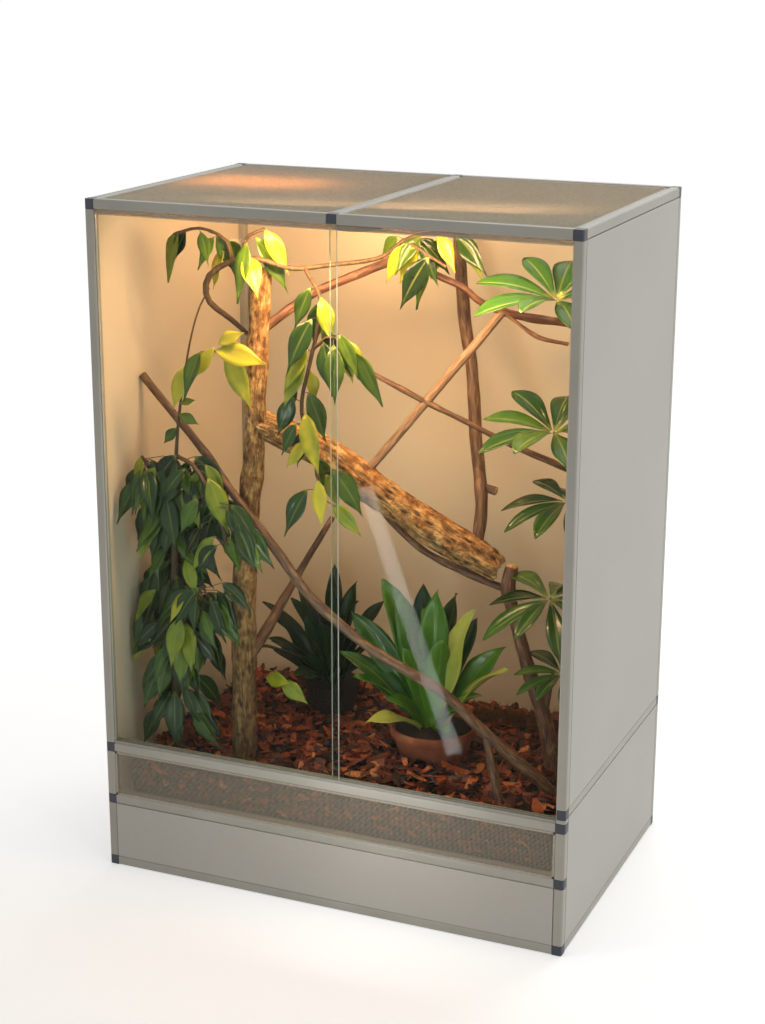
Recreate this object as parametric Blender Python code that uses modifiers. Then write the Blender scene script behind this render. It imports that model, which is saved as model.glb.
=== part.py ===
# A planted terrarium: a case of square tubes on plastic connectors, with two sliding glass doors, gauze
# in the top and under the doors, and branches and plants inside. Metres, +Z up, the front faces -Y.
# The origin is on the floor, under the middle of the case.

import math
import random

import bmesh
import bpy
from mathutils import Matrix, Vector, noise

# The case
CASE_W = 1.000
CASE_D = 0.650
CASE_H = 1.400
TUBE = 0.020
TUBE_WALL = 0.0015
CORNER_ROUND = 0.005
EDGE_ROUND = 0.0025
PANEL = 0.006
PLINTH_H = 0.1205
VENT_H = 0.0965
RAIL_STEP = 0.008
MID_X = 0.020

# Clearances
GAP = 0.0003
SPIGOT_PLAY = 0.0003
GROOVE_PLAY = 0.0004
LIFT_PLAY = 0.0045
DOOR_END_PLAY = 0.0012

# Connectors
SPIGOT_LENGTH = 0.022
SPINE = 0.012

# Doors and their tracks
GLASS = 0.005
DOOR_LAP = 0.018
TRACK_WALL = 0.002
TRACK_RIDGE = 0.0029
TRACK_FLOOR = 0.0015
BOTTOM_TRACK_H = 0.0055
TOP_TRACK_H = 0.0095
TRACK_INSET = 0.001

# Gauze
GAUZE_RIM = 0.008
GAUZE_THICK = 0.0015
GAUZE_WIRE = 0.0025
TOP_GAUZE_CELLS = (8, 6)
VENT_CELLS = (20, 2)
GAUZE_SET_BACK = 0.002

# Floor and bark bed
DECK = 0.006
DECK_Z = 0.150
SKIRT = 0.012
BED_DEPTH = 0.0817
BED_MARGIN = 0.012
BED_ROUGH = 0.006
BED_CELLS = (16, 10)

# Heat lamp
LAMP_X = -0.140
LAMP_Y = 0.160
ARM_R = 0.004
ARM_DROP = 0.018
SLEEVE_R = 0.008
SLEEVE_L = 0.020
SHADE_R = 0.052
SHADE_H = 0.058
SHADE_WALL = 0.0016
SHADE_WAIST_R = 0.032
SHADE_WAIST_DROP = 0.0093
SOCKET_R = 0.014
SOCKET_H = 0.012
BULB_R = 0.015
BULB_NECK_H = 0.005
BULB_NECK_ANGLE = math.radians(24)

# Pots
POT_TOP_R = 0.090
POT_BASE_R = 0.064
POT_H = 0.085
POT_WALL = 0.006
POT_SINK = 0.013
REAR_POT_SINK = 0.010
POT_AT = (0.118, -0.040)
REAR_POT_TOP_R = 0.062
REAR_POT_BASE_R = 0.046
REAR_POT_H = 0.070
REAR_POT_AT = (-0.190, 0.130)

# Leaves
LEAF_THICK = 0.003
LEAF_DROOP = 0.3
LEAF_TRIES = 8

# Places that follow from the sizes above
SIDE = CASE_W / 2
FRONT = -CASE_D / 2
BACK = CASE_D / 2
IN_X = SIDE - TUBE
IN_Y = BACK - TUBE
WALL_X = SIDE - PANEL - GAP
WALL_Y = BACK - PANEL - GAP
VENT_RAIL = TUBE + PLINTH_H
VENT_Z = VENT_RAIL + TUBE
DOOR_RAIL = VENT_Z + VENT_H
DOOR_Z = DOOR_RAIL + TUBE
SIDE_RAIL = DOOR_Z + RAIL_STEP
CEILING = CASE_H - TUBE
DECK_TOP = DECK_Z + DECK
BED_TOP = DECK_TOP + GAP + BED_DEPTH
NOTCH_REST = TUBE_WALL + GAP

# The branches and plants were drawn to scale in this cabin, and follow the case when it changes
DRAWN_W = 1.000
DRAWN_D = 0.650
DRAWN_BED = 0.238
DRAWN_H = 1.142

# Branches, as (x, y, z, radius) along each
TRUNK = [
    (-0.243, -0.195, 0.212, 0.0260), (-0.240, -0.190, 0.582, 0.0245), (-0.220, -0.180, 0.876, 0.0220),
    (-0.212, -0.175, 1.041, 0.0215), (-0.207, -0.170, 1.161, 0.0215), (-0.200, -0.170, 1.264, 0.0205),
]
TRUNK_FORK = [
    (-0.241, -0.190, 0.440, 0.0125), (-0.219, -0.120, 0.508, 0.0110), (-0.189, -0.030, 0.604, 0.0085),
    (-0.155, 0.060, 0.700, 0.0060),
]
SUPPORT = [
    (0.375, 0.000, 0.212, 0.0200), (0.350, 0.000, 0.331, 0.0165), (0.309, 0.000, 0.450, 0.0145),
    (0.277, 0.000, 0.556, 0.0130), (0.264, -0.004, 0.616, 0.0155), (0.270, 0.000, 0.664, 0.0130),
]
SUPPORT_ARM = [
    (0.268, -0.003, 0.612, 0.0095), (0.215, -0.003, 0.625, 0.0085), (0.099, -0.005, 0.664, 0.0080),
    (0.030, -0.020, 0.718, 0.0080), (-0.020, -0.068, 0.805, 0.0070),
]
SUPPORT_KNOT = [
    (0.345, 0.000, 0.345, 0.0080), (0.356, 0.002, 0.420, 0.0055), (0.362, 0.004, 0.452, 0.0030),
]
LOG = [
    (-0.216, -0.178, 0.955, 0.0290), (-0.127, -0.100, 0.895, 0.0325), (-0.063, -0.080, 0.852, 0.0345),
    (0.044, -0.050, 0.776, 0.0345), (0.137, -0.030, 0.718, 0.0360), (0.245, -0.005, 0.655, 0.0310),
]
LONG_BRANCH = [
    (-0.508, -0.136, 1.033, 0.0090), (-0.411, -0.170, 0.959, 0.0080), (-0.309, -0.200, 0.876, 0.0085),
    (-0.250, -0.225, 0.824, 0.0090), (-0.145, -0.235, 0.714, 0.0095), (-0.068, -0.235, 0.624, 0.0100),
    (0.042, -0.225, 0.539, 0.0100), (0.154, -0.210, 0.479, 0.0100), (0.205, -0.200, 0.449, 0.0105),
    (0.282, -0.185, 0.377, 0.0110), (0.383, -0.150, 0.281, 0.0120), (0.425, -0.100, 0.212, 0.0120),
]
LONG_PROP = [(0.285, -0.184, 0.377, 0.0085), (0.305, -0.195, 0.310, 0.0085), (0.332, -0.207, 0.212, 0.0090)]
REAR_TRUNK = [
    (0.030, 0.338, 1.352, 0.0120), (0.050, 0.250, 1.280, 0.0125), (0.082, 0.200, 1.130, 0.0135),
    (0.116, 0.160, 1.025, 0.0130), (0.151, 0.100, 0.883, 0.0135), (0.190, 0.030, 0.780, 0.0130),
    (0.198, -0.012, 0.700, 0.0130),
]
REAR_STUB = [(0.180, 0.050, 0.808, 0.0090), (0.214, 0.052, 0.800, 0.0098)]
UPPER_BRANCH = [
    (-0.207, -0.170, 1.135, 0.0100), (-0.155, -0.120, 1.184, 0.0095), (-0.111, -0.100, 1.213, 0.0090),
    (0.000, -0.040, 1.264, 0.0092), (0.032, -0.020, 1.281, 0.0100), (0.079, 0.000, 1.251, 0.0075),
    (0.146, 0.020, 1.219, 0.0065), (0.178, 0.030, 1.193, 0.0070), (0.221, 0.050, 1.171, 0.0085),
    (0.281, 0.070, 1.158, 0.0085), (0.345, 0.090, 1.151, 0.0080), (0.512, 0.130, 1.140, 0.0080),
]
UPPER_TWIG = [
    (0.221, 0.050, 1.171, 0.0050), (0.261, 0.045, 1.147, 0.0042), (0.301, 0.045, 1.126, 0.0042),
    (0.357, 0.055, 1.116, 0.0035),
]
STRAIGHT_STICK = [
    (0.221, 0.050, 1.171, 0.0088), (0.095, -0.009, 1.002, 0.0090), (-0.030, -0.068, 0.835, 0.0090),
]
THIN_STICK = [
    (-0.033, -0.030, 1.043, 0.0055), (0.083, -0.018, 0.991, 0.0060), (0.177, 0.000, 0.948, 0.0062),
    (0.249, 0.020, 0.912, 0.0065), (0.359, 0.050, 0.866, 0.0070), (0.512, 0.085, 0.805, 0.0070),
]

# The climbing fig: its stems, and for each how many leaves hang from it
FIG_STEM = [
    (-0.405, -0.200, 0.212, 0.0070), (-0.400, -0.200, 0.450, 0.0065), (-0.385, -0.215, 0.700, 0.0060),
    (-0.365, -0.228, 0.920, 0.0055), (-0.345, -0.215, 1.080, 0.0045), (-0.325, -0.205, 1.170, 0.0045),
    (-0.302, -0.196, 1.220, 0.0045),
]
FIG_VINE = [
    (-0.2385, -0.160, 1.128, 0.0045), (-0.274, -0.160, 1.154, 0.0052), (-0.308, -0.190, 1.195, 0.0060),
    (-0.301, -0.200, 1.243, 0.0060), (-0.255, -0.190, 1.275, 0.0055), (-0.186, -0.210, 1.287, 0.0050),
    (-0.131, -0.180, 1.268, 0.0045), (-0.067, -0.130, 1.272, 0.0042), (0.013, -0.085, 1.284, 0.0040),
    (0.055, -0.055, 1.318, 0.0036), (0.115, -0.052, 1.334, 0.0034), (0.185, -0.052, 1.330, 0.0030),
]
FIG_BRANCHES = {
    "top left": ([(-0.255, -0.190, 1.275, 0.0040), (-0.262, -0.200, 1.318, 0.0035),
                  (-0.315, -0.204, 1.338, 0.0030), (-0.375, -0.200, 1.322, 0.0028)], 5),
    "top right": ([(-0.225, -0.199, 1.282, 0.0040), (-0.215, -0.205, 1.325, 0.0032),
                   (-0.175, -0.205, 1.345, 0.0028)], 3),
    "middle": ([(-0.110, -0.165, 1.268, 0.0040), (-0.060, -0.195, 1.205, 0.0038),
                (-0.075, -0.215, 1.100, 0.0036), (-0.092, -0.222, 1.000, 0.0034),
                (-0.062, -0.225, 0.900, 0.0030), (-0.050, -0.222, 0.820, 0.0028)], 9),
    "middle right": ([(-0.072, -0.212, 1.120, 0.0034), (-0.030, -0.215, 1.150, 0.0030),
                      (0.005, -0.215, 1.120, 0.0026)], 4),
    "top middle": ([(0.055, -0.055, 1.318, 0.0034), (0.100, -0.075, 1.300, 0.0030),
                    (0.150, -0.080, 1.275, 0.0026)], 4),
    "before the trunk": ([(-0.349, -0.218, 1.060, 0.0036), (-0.300, -0.230, 1.098, 0.0032),
                          (-0.262, -0.238, 1.106, 0.0028)], 2),
    "high left": ([(-0.367, -0.227, 0.900, 0.0036), (-0.400, -0.215, 0.990, 0.0030),
                   (-0.395, -0.215, 1.040, 0.0024)], 2),
    "left shoulder": ([(-0.387, -0.213, 0.690, 0.0045), (-0.420, -0.222, 0.820, 0.0038),
                       (-0.452, -0.222, 0.870, 0.0030)], 5),
    "right shoulder": ([(-0.368, -0.226, 0.880, 0.0045), (-0.310, -0.255, 0.868, 0.0038),
                        (-0.262, -0.266, 0.800, 0.0034), (-0.235, -0.268, 0.720, 0.0028)], 6),
    "low right": ([(-0.401, -0.200, 0.430, 0.0045), (-0.345, -0.232, 0.580, 0.0038),
                   (-0.300, -0.246, 0.620, 0.0030)], 5),
    "low left": ([(-0.400, -0.200, 0.460, 0.0045), (-0.446, -0.175, 0.600, 0.0038),
                  (-0.458, -0.160, 0.680, 0.0030)], 5),
    "low back": ([(-0.402, -0.200, 0.380, 0.0045), (-0.345, -0.160, 0.500, 0.0038),
                  (-0.305, -0.140, 0.580, 0.0030)], 4),
}
FIG_STEM_LEAVES = 8
FIG_VINE_LEAVES = 8
FIG_LEAF = (0.088, 0.042)

# The umbrella plant, with x measured in from the right wall: a stem as (x, y, z, radius), and rosettes
# as (x, y, z, leaflet length, lean of the rosette to the front, rise of its leaflets)
UMBRELLA_STEM = [
    (0.0417, -0.020, 0.212, 0.0070), (0.0387, -0.030, 0.600, 0.0065), (0.0417, -0.030, 0.950, 0.0060),
    (0.0487, -0.035, 1.190, 0.0050),
]
UMBRELLA_ROSETTES = [
    (0.1257, -0.062, 1.222, 0.155, 0.35, 0.50), (0.1237, -0.065, 0.965, 0.150, 0.35, 0.45),
    (0.0937, -0.065, 0.832, 0.115, 0.30, 0.05), (0.1217, -0.065, 0.628, 0.125, 0.35, 0.0),
    (0.0937, -0.055, 0.470, 0.100, 0.30, 0.10),
]
UMBRELLA_LEAFLETS = 6
LEAFLET_W = 0.050

# The broad-leaved plant and the rear plant: leaf tips as (x, y, z, width)
BROAD_LEAVES = [
    (0.012, -0.060, 0.620, 0.062), (0.058, -0.080, 0.600, 0.058), (0.128, -0.050, 0.608, 0.058),
    (-0.060, -0.060, 0.540, 0.056), (-0.070, -0.095, 0.462, 0.050), (0.205, -0.070, 0.578, 0.062),
    (0.300, -0.095, 0.478, 0.046), (0.235, 0.030, 0.470, 0.050), (0.030, 0.050, 0.530, 0.056),
    (0.120, 0.080, 0.560, 0.056), (0.020, -0.165, 0.345, 0.046), (0.225, -0.140, 0.395, 0.042),
    (0.085, -0.120, 0.500, 0.052), (-0.010, 0.010, 0.455, 0.050),
]
REAR_LEAVES = [
    (-0.345, 0.100, 0.470, 0.036), (-0.300, 0.180, 0.500, 0.036), (-0.340, 0.060, 0.380, 0.034),
    (-0.260, 0.070, 0.500, 0.034), (-0.220, 0.210, 0.540, 0.036), (-0.140, 0.150, 0.530, 0.036),
    (-0.090, 0.190, 0.480, 0.036), (-0.060, 0.110, 0.440, 0.034), (-0.110, 0.050, 0.400, 0.032),
    (-0.170, 0.030, 0.470, 0.034), (-0.230, 0.010, 0.350, 0.034), (-0.290, 0.020, 0.420, 0.034),
    (-0.180, 0.120, 0.560, 0.034), (-0.350, 0.150, 0.360, 0.034),
]

# Colours, as sRGB hex, with roughness and metallic
FINISHES = {
    "painted_frame": ("A9A59A", 0.45, 0.0),
    "panel_board": ("B3AFA5", 0.50, 0.0),
    "dark_plastic": ("32353F", 0.45, 0.0),
    "track_plastic": ("8E8A80", 0.40, 0.0),
    "door_glass": ("DDE8E4", 0.05, 0.0),
    "gauze_steel": ("8C8A80", 0.45, 0.8),
    "bark_chips": ("6B3420", 0.90, 0.0),
    "trunk_bark": ("A87A4C", 0.85, 0.0),
    "branch_bark": ("6A4C37", 0.80, 0.0),
    "cork_bark": ("8A6444", 0.95, 0.0),
    "fig_leaf": ("4E7A22", 0.35, 0.0),
    "umbrella_leaf": ("3F6B2A", 0.30, 0.0),
    "broad_leaf": ("2F5A22", 0.35, 0.0),
    "rear_leaf": ("24401E", 0.45, 0.0),
    "terracotta": ("8E4A2E", 0.80, 0.0),
    "lamp_enamel": ("3A3A3C", 0.40, 0.2),
    "lamp_steel": ("9C9C9C", 0.35, 0.9),
    "lamp_glass": ("F6D9A8", 0.15, 0.0),
}


def clear_scene():
    for obj in list(bpy.data.objects):
        bpy.data.objects.remove(obj, do_unlink=True)
    case = bpy.data.collections.new("terrarium")
    tools = bpy.data.collections.new("cutters")
    tools.hide_render = True
    for collection in (case, tools):
        bpy.context.scene.collection.children.link(collection)
    return case, tools


CASE, TOOLS = clear_scene()


def finish(name):
    found = bpy.data.materials.get(name)
    if found:
        return found
    colour, roughness, metallic = FINISHES[name]
    material = bpy.data.materials.new(name)
    material.use_nodes = True
    shader = material.node_tree.nodes["Principled BSDF"]
    srgb = [int(colour[i:i + 2], 16) / 255 for i in (0, 2, 4)]
    linear = [c / 12.92 if c <= 0.04045 else ((c + 0.055) / 1.055) ** 2.4 for c in srgb]
    shader.inputs["Base Color"].default_value = (*linear, 1.0)
    shader.inputs["Roughness"].default_value = roughness
    shader.inputs["Metallic"].default_value = metallic
    return material


def at(x, y, z):
    # From the drawn cabin to this one
    high = (z - DRAWN_BED) / DRAWN_H * (CEILING - BED_TOP)
    return Vector((x / DRAWN_W * CASE_W, y / DRAWN_D * CASE_D, BED_TOP + high))


def box(low, high):
    bm = bmesh.new()
    bmesh.ops.create_cube(bm, size=1.0)
    bmesh.ops.scale(bm, vec=Vector(high) - Vector(low), verts=bm.verts)
    bmesh.ops.translate(bm, vec=(Vector(high) + Vector(low)) / 2, verts=bm.verts)
    return bm


def piece(name, bm, material=None, origin=None, smooth=False):
    # A named object with its origin inside it, or where its joint is; without a material it is a tool
    if origin is None:
        corners = [[pick(v.co[i] for v in bm.verts) for i in range(3)] for pick in (min, max)]
        origin = (Vector(corners[0]) + Vector(corners[1])) / 2
    origin = Vector(origin)
    bmesh.ops.translate(bm, vec=-origin, verts=bm.verts)
    mesh = bpy.data.meshes.new(name)
    bm.to_mesh(mesh)
    bm.free()
    obj = bpy.data.objects.new(name, mesh)
    obj.location = origin
    if material:
        CASE.objects.link(obj)
        mesh.materials.append(finish(material))
    else:
        TOOLS.objects.link(obj)
        obj.hide_render = True
        obj.display_type = "WIRE"
    if smooth:
        mesh.shade_smooth()
        mesh.set_sharp_from_angle(angle=math.radians(40))
    return obj


def boolean(obj, tool, operation):
    modifier = obj.modifiers.new(f"{operation.lower()} {tool.name}", "BOOLEAN")
    modifier.operation = operation
    modifier.object = tool
    modifier.use_self = operation == "UNION"


def evaluated_bmesh(obj, world=True):
    bpy.context.view_layer.update()
    result = obj.evaluated_get(bpy.context.evaluated_depsgraph_get())
    mesh = bpy.data.meshes.new_from_object(result)
    bm = bmesh.new()
    bm.from_mesh(mesh)
    bpy.data.meshes.remove(mesh)
    bmesh.ops.remove_doubles(bm, verts=bm.verts, dist=1e-6)
    if world:
        bm.transform(obj.matrix_world)
    return bm


def seat(obj, carriers, filled=False):
    # Cuts a piece back to 0.3 mm from each piece that carries it, or from the carrier filled up
    for carrier in carriers:
        bm = evaluated_bmesh(carrier)
        if filled:
            hull = bmesh.ops.convex_hull(bm, input=bm.verts, use_existing_faces=False)
            inside = set(hull["geom_interior"]) | set(hull["geom_unused"])
            spare = [g for g in inside if isinstance(g, bmesh.types.BMVert)]
            kept = set(hull["geom"])
            bmesh.ops.delete(bm, geom=[f for f in bm.faces if f not in kept], context="FACES_ONLY")
            bmesh.ops.delete(bm, geom=spare, context="VERTS")
        bmesh.ops.triangulate(bm, faces=bm.faces)
        bm.normal_update()
        moves = [v.normal * GAP * v.calc_shell_factor() for v in bm.verts]
        for vertex, move in zip(bm.verts, moves):
            vertex.co += move
        boolean(obj, piece(f"seat of {obj.name} on {carrier.name}", bm), "DIFFERENCE")


def edges_along(bm, axis, corners):
    # The edges along an axis whose other two coordinates are one of the corners
    others = [i for i in range(3) if i != axis]
    found = []
    for edge in bm.edges:
        ends = [v.co for v in edge.verts]
        if any(all(abs(end[i] - corner[i]) < 1e-6 for end in ends for i in others) for corner in corners):
            found.append(edge)
    return found


def round_off(bm, edges, radius, segments):
    bmesh.ops.bevel(
        bm, geom=edges, offset=radius, segments=segments, profile=0.5, affect="EDGES", material=-1
    )


# Frame


def tube(name, low, high, corner=None, segments=1):
    # A square tube along its longest side; corner is the edge that shows at the corner of the case
    sides = Vector(high) - Vector(low)
    axis = max(range(3), key=lambda i: sides[i])
    bm = box(low, high)
    ends = [face for face in bm.faces if abs(face.normal[axis]) > 0.5]
    bmesh.ops.delete(bm, geom=ends, context="FACES_ONLY")
    corners = [(x, y, z) for x in (low[0], high[0]) for y in (low[1], high[1]) for z in (low[2], high[2])]
    if corner:
        corners = [c for c in corners if c[:2] != corner]
        wide = edges_along(bm, axis, [(*corner, 0)])
        round_off(bm, wide, CORNER_ROUND, 3)
    round_off(bm, edges_along(bm, axis, corners), EDGE_ROUND, segments)
    obj = piece(name, bm, "painted_frame")
    wall = obj.modifiers.new("wall", "SOLIDIFY")
    wall.thickness = TUBE_WALL
    wall.offset = -1
    wall.use_even_offset = True
    return obj


def notch(obj, low, high):
    boolean(obj, piece(f"notch in {obj.name} at {low[2]:.3f} {low[0]:.3f}", box(low, high)), "DIFFERENCE")


def spigots(bm, directions):
    # A spigot on each named side of a connector, whose sharp corners clear the chamfers in the tube's bore
    wall = TUBE_WALL + SPIGOT_PLAY
    inset = max(wall, (EDGE_ROUND + math.sqrt(2) * wall) / 2)
    for direction in directions:
        direction = Vector(direction)
        facing = [face for face in bm.faces if face.normal.dot(direction) > 0.99]
        face = max(facing, key=lambda f: f.calc_center_median().dot(direction))
        bmesh.ops.inset_individual(bm, faces=[face], thickness=inset, use_even_offset=True)
        top = bmesh.ops.extrude_discrete_faces(bm, faces=[face])["faces"][0]
        bmesh.ops.translate(bm, vec=direction * SPIGOT_LENGTH, verts=top.verts)


def connector(name, low, high, directions, corner=None):
    bm = box(low, high)
    if corner:
        round_off(bm, edges_along(bm, 2, [(*corner, 0)]), CORNER_ROUND, 3)
    spigots(bm, directions)
    return piece(name, bm, "dark_plastic")


def corner_connectors():
    for level, z, up in (("bottom", 0.0, 1), ("top", CASE_H, -1)):
        for side, x in (("left", -SIDE), ("right", SIDE)):
            for end, y in (("front", FRONT), ("rear", BACK)):
                inward = Vector((-math.copysign(TUBE, x), -math.copysign(TUBE, y), up * TUBE))
                other = Vector((x, y, z)) + inward
                low = [min(a, b) for a, b in zip((x, y, z), other)]
                high = [max(a, b) for a, b in zip((x, y, z), other)]
                toward = [(inward.x / TUBE, 0, 0), (0, inward.y / TUBE, 0), (0, 0, up)]
                connector(f"connector_{level}_{end}_{side}", low, high, toward, (x, y))


def posts():
    made = {}
    for side, x in (("left", -SIDE), ("right", SIDE)):
        inner = x - math.copysign(TUBE, x)
        for end, y in (("front", FRONT), ("rear", BACK)):
            depth = y - math.copysign(TUBE, y)
            low = (min(x, inner), min(y, depth), TUBE + GAP)
            high = (max(x, inner), max(y, depth), CEILING - GAP)
            made[end, side] = tube(f"post_{end}_{side}", low, high, (x, y), 1)
    return made


def tees_in_posts(post):
    # The block of a tee fills a notch that leaves one wall of the post standing
    out = 0.001
    levels = {"vent": VENT_RAIL, "door": DOOR_RAIL}
    for side, x in (("left", -SIDE), ("right", SIDE)):
        inner = x - math.copysign(TUBE, x)
        low_x, high_x = min(x, inner), max(x, inner)
        rest = FRONT + TUBE - TUBE_WALL
        for level, z in levels.items():
            notch(
                post["front", side],
                (low_x - out, FRONT - out, z - GAP),
                (high_x + out, rest, z + TUBE + GAP),
            )
            if (level, side) == ("door", "right"):
                continue
            low = (low_x, FRONT, z)
            high = (high_x, rest - GAP, z + TUBE)
            toward = [(-math.copysign(1, x), 0, 0)]
            connector(f"tee_{level}_rail_{side}", low, high, toward, (x, FRONT))
    for end, y in (("front", FRONT), ("rear", BACK)):
        low_y, high_y = min(y, y - math.copysign(TUBE, y)), max(y, y - math.copysign(TUBE, y))
        notch(
            post[end, "right"],
            (IN_X + TUBE_WALL, low_y - out, SIDE_RAIL - GAP),
            (SIDE + out, high_y + out, SIDE_RAIL + TUBE + GAP),
        )
    connector(
        "tee_side_rail_rear",
        (IN_X + NOTCH_REST, IN_Y, SIDE_RAIL),
        (SIDE, BACK, SIDE_RAIL + TUBE),
        [(0, -1, 0)],
        (SIDE, BACK),
    )


def double_tee():
    # Door rail and side rail meet the right front post one above the other, on a spine inside it
    lower = box((IN_X, FRONT, DOOR_RAIL), (SIDE, FRONT + TUBE - NOTCH_REST, DOOR_Z))
    upper = box((IN_X + NOTCH_REST, FRONT, SIDE_RAIL), (SIDE, FRONT + TUBE, SIDE_RAIL + TUBE))
    for bm, direction in ((lower, (-1, 0, 0)), (upper, (0, 1, 0))):
        round_off(bm, edges_along(bm, 2, [(SIDE, FRONT, 0)]), CORNER_ROUND, 3)
        spigots(bm, [direction])
    obj = piece("tee_double_right", lower, "dark_plastic")
    middle = Vector((SIDE - TUBE / 2, FRONT + TUBE / 2, 0))
    half = Vector((SPINE / 2, SPINE / 2, 0))
    low = middle - half + Vector((0, 0, DOOR_RAIL + TUBE / 2))
    high = middle + half + Vector((0, 0, SIDE_RAIL + TUBE / 2))
    boolean(obj, piece("spine of the double tee", box(low, high)), "UNION")
    boolean(obj, piece("upper block of the double tee", upper), "UNION")


def rails():
    across = (IN_X - GAP, IN_Y - GAP)
    for level, z in (("bottom", 0.0), ("top", CEILING)):
        for end, y in (("front", FRONT), ("rear", IN_Y)):
            rail = tube(f"rail_{level}_{end}", (-across[0], y, z), (across[0], y + TUBE, z + TUBE))
            if level == "top":
                low = (MID_X - TUBE / 2 - GAP, y - TUBE, CEILING + TUBE_WALL)
                notch(rail, low, (MID_X + TUBE / 2 + GAP, y + 2 * TUBE, CASE_H + TUBE))
                connector(
                    f"tee_middle_bar_{end}",
                    (MID_X - TUBE / 2, y, CEILING + NOTCH_REST),
                    (MID_X + TUBE / 2, y + TUBE, CASE_H),
                    [(0, 1 if end == "front" else -1, 0)],
                )
        for side, x in (("left", -SIDE), ("right", IN_X)):
            tube(f"rail_{level}_{side}", (x, -across[1], z), (x + TUBE, across[1], z + TUBE))
    for name, z in (("rail_vent", VENT_RAIL), ("rail_door", DOOR_RAIL)):
        tube(name, (-across[0], FRONT, z), (across[0], FRONT + TUBE, z + TUBE))
    tube("rail_side_right", (IN_X, -across[1], SIDE_RAIL), (SIDE, across[1], SIDE_RAIL + TUBE))
    half = TUBE / 2
    tube("bar_middle", (MID_X - half, -across[1], CEILING), (MID_X + half, across[1], CASE_H))


# Panels, deck and gauze


def panels():
    x, y = IN_X - GAP, IN_Y - GAP
    bottom, top = TUBE + GAP, CEILING - GAP
    sheets = {
        "panel_side_left": ((-SIDE, -y, bottom), (-SIDE + PANEL, y, top)),
        "panel_side_right_upper": ((SIDE - PANEL, -y, SIDE_RAIL + TUBE + GAP), (SIDE, y, top)),
        "panel_side_right_lower": ((SIDE - PANEL, -y, bottom), (SIDE, y, SIDE_RAIL - GAP)),
        "panel_rear": ((-x, BACK - PANEL, bottom), (x, BACK, top)),
        "panel_plinth_front": ((-x, FRONT, bottom), (x, FRONT + PANEL, VENT_RAIL - GAP)),
    }
    for name, (low, high) in sheets.items():
        piece(name, box(low, high), "panel_board")


def deck():
    # The floor stands on its two side skirts, which stand on the bottom side rails
    x, y = WALL_X - 0.001, IN_Y - GAP
    obj = piece("floor_deck", box((-x, -y, DECK_Z), (x, y, DECK_TOP)), "panel_board")
    for side in (-1, 1):
        edges = sorted((side * x, side * (x - SKIRT)))
        bm = box((edges[0], -y, TUBE + GAP), (edges[1], y, DECK_Z + DECK / 2))
        boolean(obj, piece(f"skirt {side}", bm), "UNION")


def gauze(name, low, high, cells):
    # A flat net inside a rim: a plate with a cell cut out for each gap
    low, high = Vector(low), Vector(high)
    thin = min(range(3), key=lambda i: (high - low)[i])
    flat = [i for i in range(3) if i != thin]
    gaps = bmesh.new()
    for column in range(cells[0]):
        for row in range(cells[1]):
            centre, size = (low + high) / 2, Vector((1, 1, 1)) * 4 * GAUZE_THICK
            for axis, step, count in zip(flat, (column, row), cells):
                pitch = ((high - low)[axis] - 2 * GAUZE_RIM + GAUZE_WIRE) / count
                centre[axis] = low[axis] + GAUZE_RIM - GAUZE_WIRE / 2 + pitch * (step + 0.5)
                size[axis] = pitch - GAUZE_WIRE
            bmesh.ops.create_cube(gaps, size=1.0, matrix=Matrix.LocRotScale(centre, None, size))
    boolean(piece(name, box(low, high), "gauze_steel"), piece(f"gaps of {name}", gaps), "DIFFERENCE")


def gauzes():
    y = IN_Y - GAP
    top = CASE_H - GAUZE_SET_BACK
    half = TUBE / 2 + GAP
    gauze("gauze_top_left", (-IN_X + GAP, -y, top - GAUZE_THICK), (MID_X - half, y, top), TOP_GAUZE_CELLS)
    gauze("gauze_top_right", (MID_X + half, -y, top - GAUZE_THICK), (IN_X - GAP, y, top), TOP_GAUZE_CELLS)
    front = FRONT + GAUZE_SET_BACK
    low = (-IN_X + GAP, front, VENT_Z + GAP)
    gauze("gauze_vent", low, (IN_X - GAP, front + GAUZE_THICK, DOOR_RAIL - GAP), VENT_CELLS)


# Doors and tracks


def groove_starts():
    front = FRONT + TRACK_INSET + TRACK_WALL
    return front, front + GLASS + 2 * GROOVE_PLAY + TRACK_RIDGE


def track(name, low_z, high_z, opens_up):
    # A plastic strip with two grooves
    groove = GLASS + 2 * GROOVE_PLAY
    starts = groove_starts()
    back = starts[1] + groove + TRACK_WALL
    long = IN_X - GAP
    strip = piece(name, box((-long, FRONT + TRACK_INSET, low_z), (long, back, high_z)), "track_plastic")
    grooves = bmesh.new()
    floor = low_z + TRACK_FLOOR if opens_up else high_z - TRACK_FLOOR
    past = high_z + TUBE if opens_up else low_z - TUBE
    for start in starts:
        centre = Vector((0, start + groove / 2, (floor + past) / 2))
        size = Vector((2 * SIDE, groove, abs(past - floor)))
        bmesh.ops.create_cube(grooves, size=1.0, matrix=Matrix.LocRotScale(centre, None, size))
    boolean(strip, piece(f"grooves of {name}", grooves), "DIFFERENCE")


def doors():
    bottom, top = DOOR_Z + GAP, CEILING - GAP
    track("track_bottom", bottom, bottom + BOTTOM_TRACK_H, True)
    track("track_top", top - TOP_TRACK_H, top, False)
    low_z = bottom + TRACK_FLOOR + GAP
    high_z = top - TRACK_FLOOR - LIFT_PLAY
    end = IN_X - DOOR_END_PLAY
    spans = {"door_left": (-end, MID_X + DOOR_LAP / 2), "door_right": (MID_X - DOOR_LAP / 2, end)}
    for (name, (low_x, high_x)), start in zip(spans.items(), groove_starts()):
        y = start + GROOVE_PLAY
        bm = box((low_x, y, low_z), (high_x, y + GLASS, high_z))
        piece(name, bm, "door_glass")


# Heat lamp


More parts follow.
